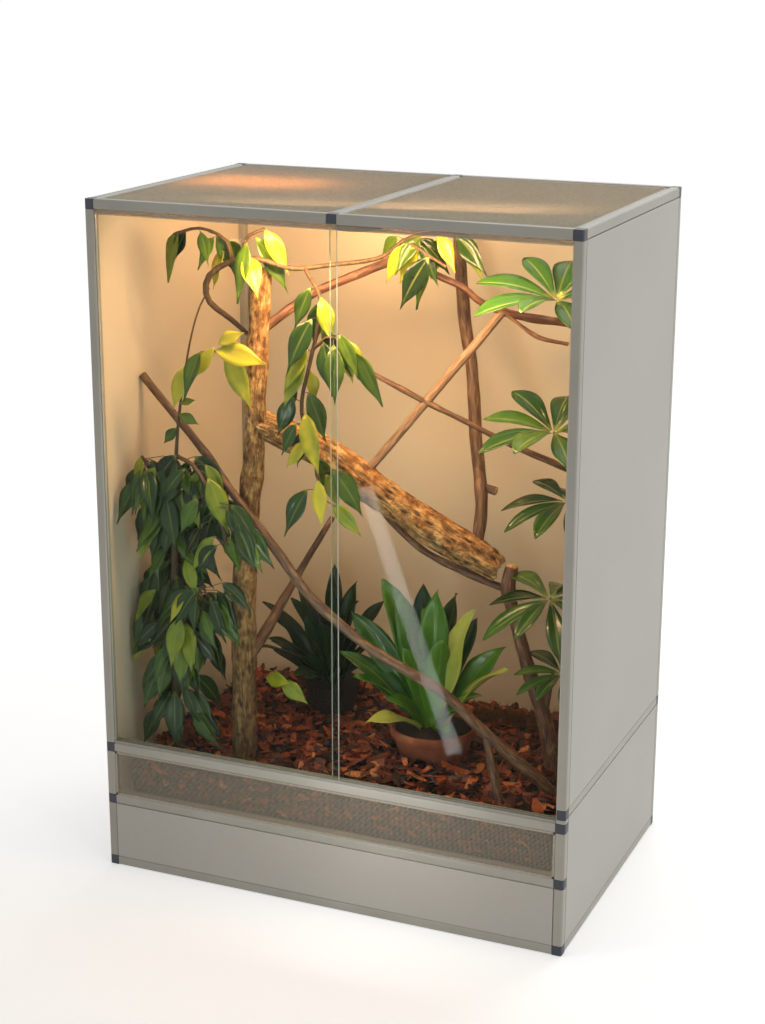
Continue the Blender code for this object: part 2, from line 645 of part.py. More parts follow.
def turned(name, profile, place, material=None, steps=20):
    # A profile of (radius, height) points, from axis to axis, turned about the vertical through a place
    bm = bmesh.new()
    points = [bm.verts.new((radius, 0, height)) for radius, height in profile]
    for first, second in zip(points, points[1:]):
        bm.edges.new((first, second))
    bmesh.ops.spin(
        bm, geom=bm.verts[:] + bm.edges[:], cent=(0, 0, 0), axis=(0, 0, 1),
        angle=math.tau, steps=steps, use_merge=True,
    )
    bmesh.ops.remove_doubles(bm, verts=bm.verts, dist=1e-5)
    bmesh.ops.recalc_face_normals(bm, faces=bm.faces)
    bmesh.ops.translate(bm, vec=place, verts=bm.verts)
    return piece(name, bm, material, origin=place, smooth=True)


def cylinder_x(radius, low_x, high_x, y, z, sides=16):
    bm = bmesh.new()
    bmesh.ops.create_cone(
        bm, cap_ends=True, segments=sides, radius1=radius, radius2=radius, depth=high_x - low_x
    )
    bmesh.ops.rotate(bm, cent=(0, 0, 0), matrix=Matrix.Rotation(math.pi / 2, 3, "Y"), verts=bm.verts)
    bmesh.ops.translate(bm, vec=((low_x + high_x) / 2, y, z), verts=bm.verts)
    return bm


def lamp():
    # The shade turns about the end of an arm that hangs from the middle bar
    z = CEILING - ARM_DROP
    pivot = Vector((LAMP_X, LAMP_Y, z))
    rod = cylinder_x(ARM_R, LAMP_X - SLEEVE_L, MID_X, LAMP_Y, z)
    arm = piece("lamp_arm", rod, "lamp_steel", smooth=True)
    foot = box(
        (MID_X - TUBE / 2, LAMP_Y - 2 * ARM_R, z - 1.5 * ARM_R),
        (MID_X + TUBE / 2, LAMP_Y + 2 * ARM_R, CEILING - GAP),
    )
    boolean(arm, piece("foot of the lamp arm", foot), "UNION")
    neck = -SLEEVE_R * 0.6
    crown = neck - SOCKET_H
    mouth = neck - SHADE_H
    profile = [
        (0, neck), (SOCKET_R, neck), (SOCKET_R, crown), (SHADE_WAIST_R, crown - SHADE_WAIST_DROP),
        (SHADE_R, mouth), (SHADE_R - SHADE_WALL, mouth),
        (SHADE_WAIST_R - SHADE_WALL, crown - SHADE_WAIST_DROP - SHADE_WALL),
        (SOCKET_R, crown - SHADE_WALL), (0, crown - SHADE_WALL),
    ]
    shade = turned("lamp_shade", profile, pivot, "lamp_enamel")
    sleeve = cylinder_x(SLEEVE_R, LAMP_X - SLEEVE_L / 2, LAMP_X + SLEEVE_L / 2, LAMP_Y, z)
    boolean(shade, piece("sleeve of the lamp shade", sleeve), "UNION")
    bore = cylinder_x(ARM_R + GAP, LAMP_X - SLEEVE_L, LAMP_X + SLEEVE_L, LAMP_Y, z)
    boolean(shade, piece("bore of the lamp shade", bore), "DIFFERENCE")
    cap = crown - SHADE_WALL - GAP
    middle = cap - BULB_NECK_H - BULB_R
    steps = 6
    step = (math.pi - BULB_NECK_ANGLE) / steps
    angles = [BULB_NECK_ANGLE + i * step for i in range(steps)]
    ball = [(BULB_R * math.sin(a), middle + BULB_R * math.cos(a)) for a in angles]
    ball.append((0, middle - BULB_R))
    turned("lamp_bulb", [(0, cap), (ball[0][0], cap), *ball], pivot, "lamp_glass", 12)


# Bark bed and branches


def bed():
    x, y = IN_X - BED_MARGIN, IN_Y - BED_MARGIN
    bm = bmesh.new()
    bmesh.ops.create_grid(bm, x_segments=BED_CELLS[0], y_segments=BED_CELLS[1], size=1.0)
    bmesh.ops.scale(bm, vec=(x, y, 1), verts=bm.verts)
    for vertex in bm.verts:
        bumps = noise.noise(vertex.co * 9) + 0.6 * noise.noise(vertex.co * 21)
        vertex.co.z = BED_TOP + BED_ROUGH * bumps
    under = bmesh.ops.extrude_face_region(bm, geom=bm.faces[:])["geom"]
    for vertex in [g for g in under if isinstance(g, bmesh.types.BMVert)]:
        vertex.co.z = DECK_TOP + GAP
    bmesh.ops.recalc_face_normals(bm, faces=bm.faces)
    return piece("bark_bed", bm, "bark_chips")


def smoothed(route, steps):
    # A Catmull-Rom curve through a route's points, which carries the radius along
    points = [Vector((*at(*p[:3]), p[3])) for p in route]
    if steps == 1:
        return points
    ends = [2 * points[0] - points[1], *points, 2 * points[-1] - points[-2]]
    curve = []
    for a, b, c, d in zip(ends, ends[1:], ends[2:], ends[3:]):
        for step in range(steps):
            t = step / steps
            bend = (2 * a - 5 * b + 4 * c - d) * t * t + (3 * b - 3 * c + d - a) * t ** 3
            curve.append(b + ((c - a) * t + bend) / 2)
    return curve + [points[-1]]


def stick(name, route, resolution=1, steps=2):
    # A tapered round stick along a route, as a bmesh
    points = smoothed(route, steps)
    curve = bpy.data.curves.new(name, "CURVE")
    curve.dimensions = "3D"
    curve.bevel_depth = 1.0
    curve.bevel_resolution = resolution
    curve.use_fill_caps = True
    spline = curve.splines.new("POLY")
    spline.points.add(len(points) - 1)
    for target, point in zip(spline.points, points):
        target.co = (*point[:3], 1)
        target.radius = point[3]
    guide = bpy.data.objects.new(name, curve)
    TOOLS.objects.link(guide)
    bm = evaluated_bmesh(guide)
    bpy.data.objects.remove(guide)
    bpy.data.curves.remove(curve)
    bmesh.ops.triangulate(bm, faces=bm.faces)
    TAKEN.extend(zip(points, points[1:]))
    return bm


def roughen(bm, height, scale):
    for vertex in bm.verts:
        vertex.co += vertex.normal * height * noise.noise(vertex.co / scale)
    return bm


def branch(name, material, main, forks=(), resolution=1, rough=0.0):
    obj = piece(name, roughen(stick(name, main, resolution), rough, 0.05), material, smooth=True)
    for number, fork in enumerate(forks):
        boolean(obj, piece(f"fork {number} of {name}", stick(name, fork)), "UNION")
    return obj


def keep_inside(obj):
    # Cuts a branch off where it meets the walls
    room = box((-WALL_X, -IN_Y, DECK_TOP), (WALL_X, WALL_Y, CEILING))
    boolean(obj, piece(f"cabin for {obj.name}", room), "INTERSECT")


def wood():
    trunk = branch("main_trunk", "trunk_bark", TRUNK, [TRUNK_FORK], 3, 0.004)
    support = branch("support_branch", "branch_bark", SUPPORT, [SUPPORT_ARM, SUPPORT_KNOT], 2, 0.002)
    log = branch("cork_log", "cork_bark", LOG, (), 4, 0.008)
    seat(log, [trunk, support])
    rear = branch("rear_trunk", "branch_bark", REAR_TRUNK, [REAR_STUB], 2, 0.002)
    keep_inside(rear)
    seat(rear, [log])
    front = branch("long_branch", "branch_bark", LONG_BRANCH, [LONG_PROP], 2)
    keep_inside(front)
    upper = branch("upper_branch", "branch_bark", UPPER_BRANCH, [UPPER_TWIG], 2)
    keep_inside(upper)
    seat(upper, [trunk])
    crossed = branch("crossed_sticks", "branch_bark", STRAIGHT_STICK, [THIN_STICK], 2)
    keep_inside(crossed)
    seat(crossed, [upper, log])
    return [trunk, support, front]


# Plants


def clear(points, reach):
    # Whether a leaf's points keep clear of the wood, the lamp, the walls and the bed
    for point in points:
        if abs(point.x) > WALL_X - reach / 2 or not -IN_Y + reach / 2 < point.y < WALL_Y - reach:
            return False
        if not BED_TOP + reach < point.z < CEILING:
            return False
        for start, end in TAKEN:
            along = (end - start).to_3d()
            share = (point - start.to_3d()).dot(along) / max(along.length_squared, 1e-12)
            share = min(max(share, 0), 1)
            nearest = start.lerp(end, share)
            if (point - nearest.to_3d()).length < nearest[3] + reach:
                return False
    return True


def fig_leaf(bm, base, direction, length, width):
    # A pointed leaf, widest before its middle, whose tip hangs
    made = bmesh.ops.create_icosphere(bm, subdivisions=1, radius=1.0)["verts"]
    turn = direction.to_track_quat("X", "Z").to_matrix()
    for vertex in made:
        x, y, z = vertex.co
        share = 0.5 + z / 2
        wide = width / 2 * (1.3 - 0.6 * share)
        bent = Vector((share * length, x * wide, y * LEAF_THICK / 2))
        vertex.co = base + turn @ bent - Vector((0, 0, LEAF_DROOP * length * share * share))


def strap_leaf(bm, base, tip, width, lift, cuts=3):
    # A long leaf from its base to its tip, arched upward between them
    made = bmesh.new()
    bmesh.ops.create_cube(made, size=1.0)
    bmesh.ops.subdivide_edges(made, edges=edges_along(made, 0, [
        (0, y, z) for y in (-0.5, 0.5) for z in (-0.5, 0.5)
    ]), cuts=cuts, use_grid_fill=True)
    along = tip - base
    turn = along.to_track_quat("X", "Z").to_matrix()
    for vertex in made.verts:
        share = vertex.co.x + 0.5
        wide = width * (0.12 + 0.88 * math.sin(math.pi * share ** 0.8)) * vertex.co.y
        thick = LEAF_THICK * (1.4 - share) * vertex.co.z
        place = base.lerp(tip, share) + turn @ Vector((0, wide, thick))
        vertex.co = place + Vector((0, 0, lift * along.length * 4 * share * (1 - share)))
    mesh = bpy.data.meshes.new("leaf")
    made.to_mesh(mesh)
    made.free()
    bm.from_mesh(mesh)
    bpy.data.meshes.remove(mesh)


def along_route(route, share):
    points = smoothed(route, 1)
    place = share * (len(points) - 1)
    index = min(int(place), len(points) - 2)
    return points[index].lerp(points[index + 1], place - index).to_3d()


def hang_leaves(bm, route, count, chance, share_range=(0.12, 0.97)):
    # Leaves hang from a stem, turned by chance; one that would meet the wood is left out
    length, width = FIG_LEAF
    for number in range(count):
        low, high = share_range
        base = along_route(route, low + (high - low) * (number + 1) / count)
        for _ in range(LEAF_TRIES):
            turn = chance.uniform(0, math.tau)
            direction = Vector((math.cos(turn), 0.7 * math.sin(turn), -chance.uniform(0.5, 1.3)))
            direction.normalize()
            long = length * chance.uniform(0.85, 1.25)
            drops = [Vector((0, 0, LEAF_DROOP * long * s * s)) for s in (0.4, 0.7, 1.0)]
            path = [base + direction * long * s - drop for s, drop in zip((0.4, 0.7, 1.0), drops)]
            if clear(path, width / 2):
                fig_leaf(bm, base - direction * LEAF_THICK, direction, long, width)
                break


def fig():
    chance = random.Random(4)
    leaves = bmesh.new()
    taken = len(TAKEN)
    stems = [stick("fig", FIG_VINE, 1, 1)]
    stems += [stick("fig", route, 0, 1) for route, _ in FIG_BRANCHES.values()]
    obj = piece("climbing_fig", stick("fig", FIG_STEM, 1, 1), "fig_leaf", smooth=True)
    del TAKEN[taken:]
    hang_leaves(leaves, FIG_STEM, FIG_STEM_LEAVES, chance, (0.06, 0.62))
    hang_leaves(leaves, FIG_VINE, FIG_VINE_LEAVES, chance, (0.80, 0.98))
    for route, count in FIG_BRANCHES.values():
        hang_leaves(leaves, route, count, chance)
    for number, bm in enumerate(stems):
        boolean(obj, piece(f"fig stem {number}", bm), "UNION")
    boolean(obj, piece("fig leaves", leaves), "UNION")
    return obj


def from_right_wall(points):
    # Points measured in from the right wall, as points of the drawn cabin
    return [((WALL_X - inset) / CASE_W * DRAWN_W, *rest) for inset, *rest in points]


def umbrella_plant():
    leaves = bmesh.new()
    taken = len(TAKEN)
    stem = from_right_wall(UMBRELLA_STEM)
    obj = piece("umbrella_plant", stick("umbrella", stem, 1, 1), "umbrella_leaf", smooth=True)
    stem_x, stem_y = stem[1][:2]
    stalks = []
    for x, y, z, length, lean, rise in from_right_wall(UMBRELLA_ROSETTES):
        route = [
            (stem_x, stem_y, z - 0.045, 0.0034), ((x + stem_x) / 2, y, z - 0.022, 0.0030),
            (x, y, z + 0.002, 0.0034),
        ]
        stalks.append(stick("umbrella", route, 0))
        base = at(x, y, z)
        axis = Vector((0, -lean, 1)).normalized()
        across = Vector((1, 0, 0))
        for number in range(UMBRELLA_LEAFLETS):
            turn = math.tau * (number + 0.5) / UMBRELLA_LEAFLETS
            direction = across * math.cos(turn) + axis.cross(across) * math.sin(turn) + axis * rise
            tip = base + direction.normalized() * length
            tip.x = min(tip.x, WALL_X - LEAFLET_W / 2)
            if clear([base.lerp(tip, s) for s in (0.5, 0.75, 1.0)], LEAFLET_W / 2):
                strap_leaf(leaves, base, tip, LEAFLET_W, 0.10, 2)
    del TAKEN[taken:]
    for number, bm in enumerate(stalks):
        boolean(obj, piece(f"umbrella stalk {number}", bm), "UNION")
    boolean(obj, piece("umbrella leaflets", leaves), "UNION")
    return obj


def pot_profile(top_r, base_r, high, wall):
    lip = wall * 1.6
    inner = high - lip
    return [
        (0, 0), (base_r, 0), (top_r - wall, high - 2 * lip), (top_r, high - 2 * lip), (top_r, high),
        (top_r - wall, high), (top_r - wall * 1.6, inner), (base_r - wall, wall), (0, wall),
    ]


def bushy(obj, tips, base, lift):
    leaves = bmesh.new()
    for x, y, z, width in tips:
        tip = at(x, y, z)
        inner = base + (tip - base).to_2d().to_3d() * 0.12
        strap_leaf(leaves, inner, tip, width, lift)
    boolean(obj, piece(f"leaves of {obj.name}", leaves), "UNION")


def broad_plant():
    place = Vector((*at(*POT_AT, DRAWN_BED)[:2], BED_TOP - POT_SINK))
    profile = pot_profile(POT_TOP_R, POT_BASE_R, POT_H, POT_WALL)
    pot = turned("plant_pot", profile, place, "terracotta")
    inner_top, inner_low = profile[6], profile[7]
    soil = [
        (0, inner_low[1] + GAP), (inner_low[0] - 2 * GAP, inner_low[1] + GAP),
        (inner_top[0] - 2 * GAP, inner_top[1]), (0, inner_top[1] + POT_WALL),
    ]
    plant = turned("broad_leaved_plant", soil, place, "broad_leaf", 20)
    base = place + Vector((0, 0, POT_H - 2 * POT_WALL))
    bushy(plant, BROAD_LEAVES, base, 0.14)
    return pot


def rear_plant():
    place = Vector((*at(*REAR_POT_AT, DRAWN_BED)[:2], BED_TOP - REAR_POT_SINK))
    profile = [
        (0, 0), (REAR_POT_BASE_R, 0), (REAR_POT_TOP_R, REAR_POT_H), (0, REAR_POT_H + POT_WALL / 2),
    ]
    obj = turned("rear_plant", profile, place, "rear_leaf")
    bushy(obj, REAR_LEAVES, place + Vector((0, 0, REAR_POT_H - POT_WALL)), 0.16)
    return obj


# Stretches of wood, each from (x, y, z, radius) to the next, that leaves keep clear of
TAKEN = []

corner_connectors()
tees_in_posts(posts())
double_tee()
rails()
panels()
deck()
gauzes()
doors()
lamp()
bark = bed()
planted = wood()
lamp_place = at(LAMP_X, LAMP_Y, CEILING)
TAKEN.append((
    Vector((*lamp_place, SHADE_R)), Vector((LAMP_X, LAMP_Y, CEILING - ARM_DROP - SHADE_H, SHADE_R))
))
planted += [fig(), umbrella_plant()]
seat(bark, planted)
seat(bark, [broad_plant(), rear_plant()], filled=True)
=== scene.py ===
# Looks of the planted terrarium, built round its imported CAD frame. Metres, +Z up, the doors face -Y.
import bisect
import math
import random

import bmesh
import bpy
from mathutils import Matrix, Vector, noise


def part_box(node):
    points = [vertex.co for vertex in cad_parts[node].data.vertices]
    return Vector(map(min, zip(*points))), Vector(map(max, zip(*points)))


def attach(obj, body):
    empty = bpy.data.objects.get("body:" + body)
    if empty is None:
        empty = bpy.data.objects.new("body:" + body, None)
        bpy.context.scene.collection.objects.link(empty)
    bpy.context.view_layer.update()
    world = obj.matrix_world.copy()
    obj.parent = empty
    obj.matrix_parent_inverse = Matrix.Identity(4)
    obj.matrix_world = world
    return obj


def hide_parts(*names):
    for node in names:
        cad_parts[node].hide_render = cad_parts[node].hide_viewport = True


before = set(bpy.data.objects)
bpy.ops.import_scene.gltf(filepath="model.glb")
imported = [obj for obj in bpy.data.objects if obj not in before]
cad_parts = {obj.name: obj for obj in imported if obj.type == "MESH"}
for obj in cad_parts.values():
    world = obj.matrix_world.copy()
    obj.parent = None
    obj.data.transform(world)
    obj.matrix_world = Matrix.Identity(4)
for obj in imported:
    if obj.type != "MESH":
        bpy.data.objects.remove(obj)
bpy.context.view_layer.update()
print("frame loaded:", len(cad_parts), "nodes")


def linear(hexColour):  # an sRGB hex value as the linear colour that shaders take
    srgb = [int(hexColour[i:i + 2], 16) / 255 for i in (0, 2, 4)]
    return (*(c / 12.92 if c <= 0.04045 else ((c + 0.055) / 1.055) ** 2.4 for c in srgb), 1.0)


def metres(point):  # routes and leaf tips are written in millimetres
    return tuple(value / 1000 for value in point)


def metresAlong(route):
    return [metres(point) for point in route]


def bounded(value):  # held between 0 and 1
    return min(1, max(0, value))


def feed(node, sockets):  # a value or a link for each input; a node stands for its first output
    for name, value in sockets.items():
        source = value.outputs[0] if isinstance(value, bpy.types.Node) else value
        if isinstance(source, bpy.types.NodeSocket):
            node.id_data.links.new(source, node.inputs[name])
        else:
            node.inputs[name].default_value = source


def add(tree, kind, sockets=None, stops=(), **settings):  # one node: its inputs, ramp stops and settings
    made = tree.nodes.new("ShaderNode" + kind)
    for name, value in settings.items():
        setattr(made, name, value)
    if stops:
        while len(made.color_ramp.elements) < len(stops):
            made.color_ramp.elements.new(0.5)
        for element, (place, colour) in zip(made.color_ramp.elements, stops):
            element.position = place
            element.color = linear(colour)
    feed(made, sockets or {})
    return made


def newFinish(name, roughness, metallic=0.0, ior=1.5):  # a material and its Principled shader
    made = bpy.data.materials.new(name)
    made.use_nodes = True
    shader = made.node_tree.nodes["Principled BSDF"]
    feed(shader, {"Roughness": roughness, "Metallic": metallic, "IOR": ior})
    return made, made.node_tree, shader


def mottled(name, stops, pattern, roughness, ior=1.5, metallic=0.0, spread=None, stretch=None, relief=None,
            bump=None):
    # A finish whose colour wanders between its stops, and its roughness over a spread, if it has one.
    # Its relief comes from a finer noise or from the same one
    material, tree, shader = newFinish(name, roughness, metallic, ior)
    place = add(tree, "TexCoord").outputs["Object"]
    if stretch:
        place = add(tree, "Mapping", {"Vector": place, "Scale": stretch})
    cloud = add(tree, "TexNoise", {"Vector": place, **pattern})
    feed(shader, {"Base Color": add(tree, "ValToRGB", {"Fac": cloud}, stops)})
    if bump:
        strength, distance = bump
        height = add(tree, "TexNoise", {"Vector": place, **relief}) if relief else cloud
        feed(shader, {"Normal": add(tree, "Bump", {
            "Height": height, "Strength": strength, "Distance": distance})})
    if spread:
        low, high = spread
        feed(shader, {"Roughness": add(tree, "MapRange", {"Value": cloud, "To Min": low, "To Max": high})})
    return material


def joinInto(bm, part, material=None):  # puts a part into a piece, in one of its materials
    if material is not None:
        for face in part.faces:
            face.material_index = material
    mesh = bpy.data.meshes.new("part")
    part.to_mesh(mesh)
    part.free()
    bm.from_mesh(mesh)
    bpy.data.meshes.remove(mesh)


def meshObject(name, bm, materials):  # an object from a finished mesh, at the origin
    mesh = bpy.data.meshes.new(name)
    bm.to_mesh(mesh)
    bm.free()
    for material in materials:
        mesh.materials.append(material)
    made = bpy.data.objects.new(name, mesh)
    bpy.context.scene.collection.objects.link(made)
    return made


def finishedPiece(name, bm, materials, body, replaced, smooth=True, angle=40):
    # A piece in place, riding on its body and standing for the CAD node it replaces
    made = meshObject(name, bm, materials)
    if smooth:
        made.data.shade_smooth()
        made.data.set_sharp_from_angle(angle=math.radians(angle))
    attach(made, body)
    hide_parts(replaced)
    return made


# Camera, world, floor and lamps

cameraView = {
    "place": (1.5092, -3.5679, 1.899),
    "azimuth": -23.138,
    "elevation": 16.588,
    "roll": -0.157,
    "lens": 69.05,
    "sensor": 36,
}
studio = {
    "worldStrength": 0.50,
    "floorColour": "F1F0EE",
    "floorReach": 120.0,
    "floorDrop": 0.0005,
    "floorWhite": (0.40, 0.58),  # under the case, and farther off, where the key light fades
    "whiteFrom": (1.2, 6.0),  # how far off these two are
}
caseMiddle = (0, 0, 0.7)
lamps = {  # an area lamp has a target and two sides, a point lamp has the radius of its bulb
    "keyLamp": {"place": (0.5, 2.6, 3.8), "power": 60.0, "colour": "FFFFFF", "target": caseMiddle,
                "size": (2.6, 2.6)},
    "sideLamp": {"place": (4.5, 0.3, 1.1), "power": 33.0, "colour": "FFFFFF", "target": caseMiddle,
                 "size": (2.0, 2.0)},
    "heatLamp": {"place": (-0.14, 0.16, 1.287), "power": 1.2, "colour": "FFBE80", "radius": 0.02},
    "glowUnderGauze": {"place": (0.08, -0.262, 1.352), "power": 7.3, "colour": "FFC896",
                       "target": (0.00, 0.22, 0.78), "size": (0.55, 0.05)},
    "glowOnGauze": {"place": (-0.29, 0.06, 1.345), "power": 1.2, "colour": "FF9C48",
                    "target": (-0.29, 0.061, 2.345), "size": (0.26, 0.16)},
}
streak = {  # a slim strip lamp out of the view, whose mirror image is the pale band across the right door
    "power": 1.1,
    "ends": ((-0.045, -0.60, 0.800), (0.160, -0.60, 0.242)),
    "width": 0.036,
}


def aim(place, target):  # a matrix that looks from a place at a target
    towards = Vector(target) - Vector(place)
    return Matrix.Translation(place) @ towards.to_track_quat("-Z", "Y").to_matrix().to_4x4()


def setCamera():
    data = bpy.data.cameras.new("photoCamera")
    data.lens = cameraView["lens"]
    data.sensor_width = cameraView["sensor"]
    data.sensor_fit = "AUTO"
    camera = bpy.data.objects.new("photoCamera", data)
    bpy.context.scene.collection.objects.link(camera)
    turn, dip = math.radians(cameraView["azimuth"]), math.radians(cameraView["elevation"])
    ahead = Vector((math.sin(turn) * math.cos(dip), math.cos(turn) * math.cos(dip), -math.sin(dip)))
    place = Vector(cameraView["place"])
    roll = Matrix.Rotation(-math.radians(cameraView["roll"]), 4, "Z")
    camera.matrix_world = aim(place, place + ahead) @ roll
    bpy.context.scene.camera = camera


def addLamp(name, place, power, colour, target=None, size=None, radius=None):
    data = bpy.data.lights.new(name, "AREA" if size else "POINT")
    data.energy = power
    data.color = linear(colour)[:3]
    if size:
        data.shape = "RECTANGLE"
        data.size, data.size_y = size
    else:
        data.shadow_soft_size = radius
    made = bpy.data.objects.new(name, data)
    bpy.context.scene.collection.objects.link(made)
    made.matrix_world = aim(place, target) if target else Matrix.Translation(place)
    made.visible_camera = False
    return made


def setStreak():
    low, high = (Vector(end) for end in streak["ends"])
    middle, along, facing = (low + high) / 2, (high - low).normalized(), Vector((0, 1, 0))
    made = addLamp("streakLamp", middle, streak["power"], "FFFFFF", middle + facing,
                   ((high - low).length, streak["width"]))
    turned = Matrix((along, (-facing).cross(along), -facing)).transposed().to_4x4()
    made.matrix_world = Matrix.Translation(middle) @ turned


def showsWhite(tree):  # 1 for a ray of the camera, a mirror or through glass, and 0 for one that only lights
    rays = add(tree, "LightPath")
    mirrored = add(tree, "Math", {
        0: rays.outputs["Is Glossy Ray"], 1: rays.outputs["Is Transmission Ray"]}, operation="MAXIMUM")
    return add(tree, "Math", {0: rays.outputs["Is Camera Ray"], 1: mirrored}, operation="MAXIMUM")


def setWorld():
    world = bpy.data.worlds.new("studio")
    bpy.context.scene.world = world
    world.use_nodes = True
    tree = world.node_tree
    tree.nodes.clear()
    strength = add(tree, "MapRange", {
        "Value": showsWhite(tree), "To Min": studio["worldStrength"], "To Max": 1.0})
    sky = add(tree, "Background", {"Color": (1, 1, 1, 1), "Strength": strength})
    add(tree, "OutputWorld", {"Surface": sky})


def layFloor():
    material, tree, shader = newFinish("paintedStudioFloor", 0.9)
    feed(shader, {"Base Color": linear(studio["floorColour"]), "Specular IOR Level": 0.0})
    place = add(tree, "TexCoord").outputs["Object"]
    away = add(tree, "VectorMath", {0: place}, operation="LENGTH").outputs["Value"]
    (near, far), (whiteNear, whiteFar) = studio["whiteFrom"], studio["floorWhite"]
    strength = add(tree, "MapRange", {
        "Value": away, "From Min": near, "From Max": far, "To Min": whiteNear, "To Max": whiteFar})
    white = add(tree, "Emission", {"Color": (1, 1, 1, 1), "Strength": strength})
    both = add(tree, "AddShader", {0: shader, 1: white})
    seen = add(tree, "MixShader", {"Fac": showsWhite(tree), 1: shader, 2: both})
    feed(tree.nodes["Material Output"], {"Surface": seen})
    bm = bmesh.new()
    bmesh.ops.create_grid(bm, x_segments=1, y_segments=1, size=studio["floorReach"])
    bmesh.ops.translate(bm, vec=(0, 0, -studio["floorDrop"]), verts=bm.verts)
    meshObject("studioFloor", bm, [material])


bpy.context.scene.view_settings.view_transform = "Standard"
setCamera()
setWorld()
layFloor()
for lampName, lampValues in lamps.items():
    addLamp(lampName, **lampValues)
setStreak()
print("camera and studio set")


# Finishes of the case

glassMirror = 1.13  # a weaker mirror than bare glass, so less veil over the planting


def laminate(name, axis, innerSide, sign):
    # laminate-faced board: warm grey outside, and cream inside, which is the heat lamp's warm light painted on
    # the inner faces; the eye sees a faint even grain
    material, tree, shader = newFinish(name, 0.5)
    place = add(tree, "TexCoord").outputs["Object"]
    axes = add(tree, "SeparateXYZ", {0: place})
    compared = "LESS_THAN" if sign > 0 else "GREATER_THAN"
    paintedGlowFaces = add(tree, "Math", {0: axes.outputs[axis], 1: innerSide}, operation=compared)
    grain = add(tree, "TexNoise", {"Vector": place, "Scale": 420.0, "Detail": 3.0, "Roughness": 0.7})
    cloud = add(tree, "TexNoise", {"Vector": place, "Scale": 2.2, "Detail": 2.0})
    outer = add(tree, "ValToRGB", {"Fac": cloud}, stops=[(0.25, "B2AEA5"), (0.75, "BAB6AD")])
    # the inner faces' cream is a painted warm glow of the heat lamp, not the board's own colour
    inner = add(tree, "ValToRGB", {"Fac": cloud}, stops=[(0.25, "DCCFB9"), (0.75, "E6DAC6")])
    colour = add(tree, "Mix", {0: paintedGlowFaces, 6: outer, 7: inner}, data_type="RGBA")
    speck = add(tree, "Mix", {0: 0.25, 6: colour.outputs[2], 7: grain.outputs["Color"]},
                data_type="RGBA", blend_type="SOFT_LIGHT")
    bump = add(tree, "Bump", {"Height": grain, "Strength": 0.05, "Distance": 0.0003})
    feed(shader, {"Base Color": speck.outputs[2], "Normal": bump})
    return material


def hardSkin(name, stops, roughness):  # moulded nylon, extruded profile or enamel: a fine spark texture
    return mottled(name, stops, {"Scale": 40.0, "Detail": 4.0}, roughness, ior=1.54,
                   relief={"Scale": 1600.0, "Detail": 1.0}, bump=(0.12, 0.0003))


def floatGlass():  # clear float glass: a faint grey-green film and a sharp reflection, from both sides alike
    material, tree, shader = newFinish("floatGlass", 0.0, ior=1.52)
    clear = add(tree, "BsdfTransparent", {"Color": linear("F6FAF7")})
    gloss = add(tree, "BsdfGlossy", {"Color": (1, 1, 1, 1), "Roughness": 0.0})
    behind = add(tree, "NewGeometry").outputs["Backfacing"]
    bending = add(tree, "MapRange", {"Value": behind, "To Min": glassMirror, "To Max": 1 / glassMirror})
    edge = add(tree, "Fresnel", {"IOR": bending})
    mixed = add(tree, "MixShader", {"Fac": edge, 1: clear, 2: gloss})
    feed(tree.nodes["Material Output"], {"Surface": mixed})
    tree.nodes.remove(shader)
    return material


def clearProfile():  # clear extruded profile: seen through, with soft pale edges
    material, tree, shader = newFinish("clearTrackProfile", 0.25, ior=1.49)
    feed(shader, {"Base Color": linear("C9C4B8")})
    clear = add(tree, "BsdfTransparent", {"Color": linear("F4F2EC")})
    mixed = add(tree, "MixShader", {"Fac": 0.22, 1: clear, 2: shader})
    feed(tree.nodes["Material Output"], {"Surface": mixed})
    return material


def wovenSteel():  # thin stainless wire, woven: pale, and so fine that some light comes through it
    material = mottled("stainlessGauze", [(0.3, "C6C0B0"), (0.7, "DAD5C6")], {"Scale": 180.0, "Detail": 2.0},
                       0.5, metallic=0.25)
    tree = material.node_tree
    shader = tree.nodes["Principled BSDF"]
    colour = shader.inputs["Base Color"].links[0].from_socket
    through = add(tree, "BsdfTranslucent", {"Color": colour})
    mixed = add(tree, "MixShader", {"Fac": 0.5, 1: shader, 2: through})
    feed(tree.nodes["Material Output"], {"Surface": mixed})
    return material


# powder-coated steel tube: a fine orange peel breaks up a soft sheen
paint = mottled("satinPowderCoat", [(0.3, "A19D92"), (0.7, "ADA99E")], {"Scale": 6.0, "Detail": 3.0}, 0.42,
                spread=(0.38, 0.47), relief={"Scale": 700.0, "Detail": 2.0}, bump=(0.06, 0.0004))
panelFinish = {
    "panel_side_left": laminate("boardSideLeft", 0, -0.4945, -1),
    "panel_side_right_upper": laminate("boardSideRight", 0, 0.4945, 1),
    "panel_side_right_lower": laminate("boardSideRightLow", 0, 0.4945, 1),
    "panel_rear": laminate("boardRear", 1, 0.3195, 1),
    "panel_plinth_front": laminate("boardPlinth", 1, -0.3195, -1),
    "floor_deck": laminate("boardDeck", 2, 0.0, 1),
}
connectorPlastic = hardSkin("blackConnectorNylon", [(0.3, "292C36"), (0.7, "353945")], 0.42)
clearTrack = clearProfile()
trackPlastic = hardSkin("greyTrackProfile", [(0.3, "8C887D"), (0.7, "98948A")], 0.35)
doorGlass = floatGlass()
# the ground and polished edge of float glass: pale, milky grey-green
glassEdge = mottled("polishedGlassEdge", [(0.3, "BCCBC2"), (0.7, "D5DED6")], {"Scale": 30.0}, 0.22, ior=1.52)
gauzeWire = wovenSteel()
print("case finishes ready")


# The case: each CAD node with its corners softened

softening = {  # width and segments of the round on the edges of each kind, in metres
    "tube": (0.0009, 2),
    "connector": (0.0011, 3),
    "panel": (0.0006, 2),
    "track": (0.0003, 1),
    "glass": (0.0004, 2),
}
flatAngle, edgeAngle = math.radians(1), math.radians(25)  # one face below, an edge to soften above
mergeDistance = 1e-6


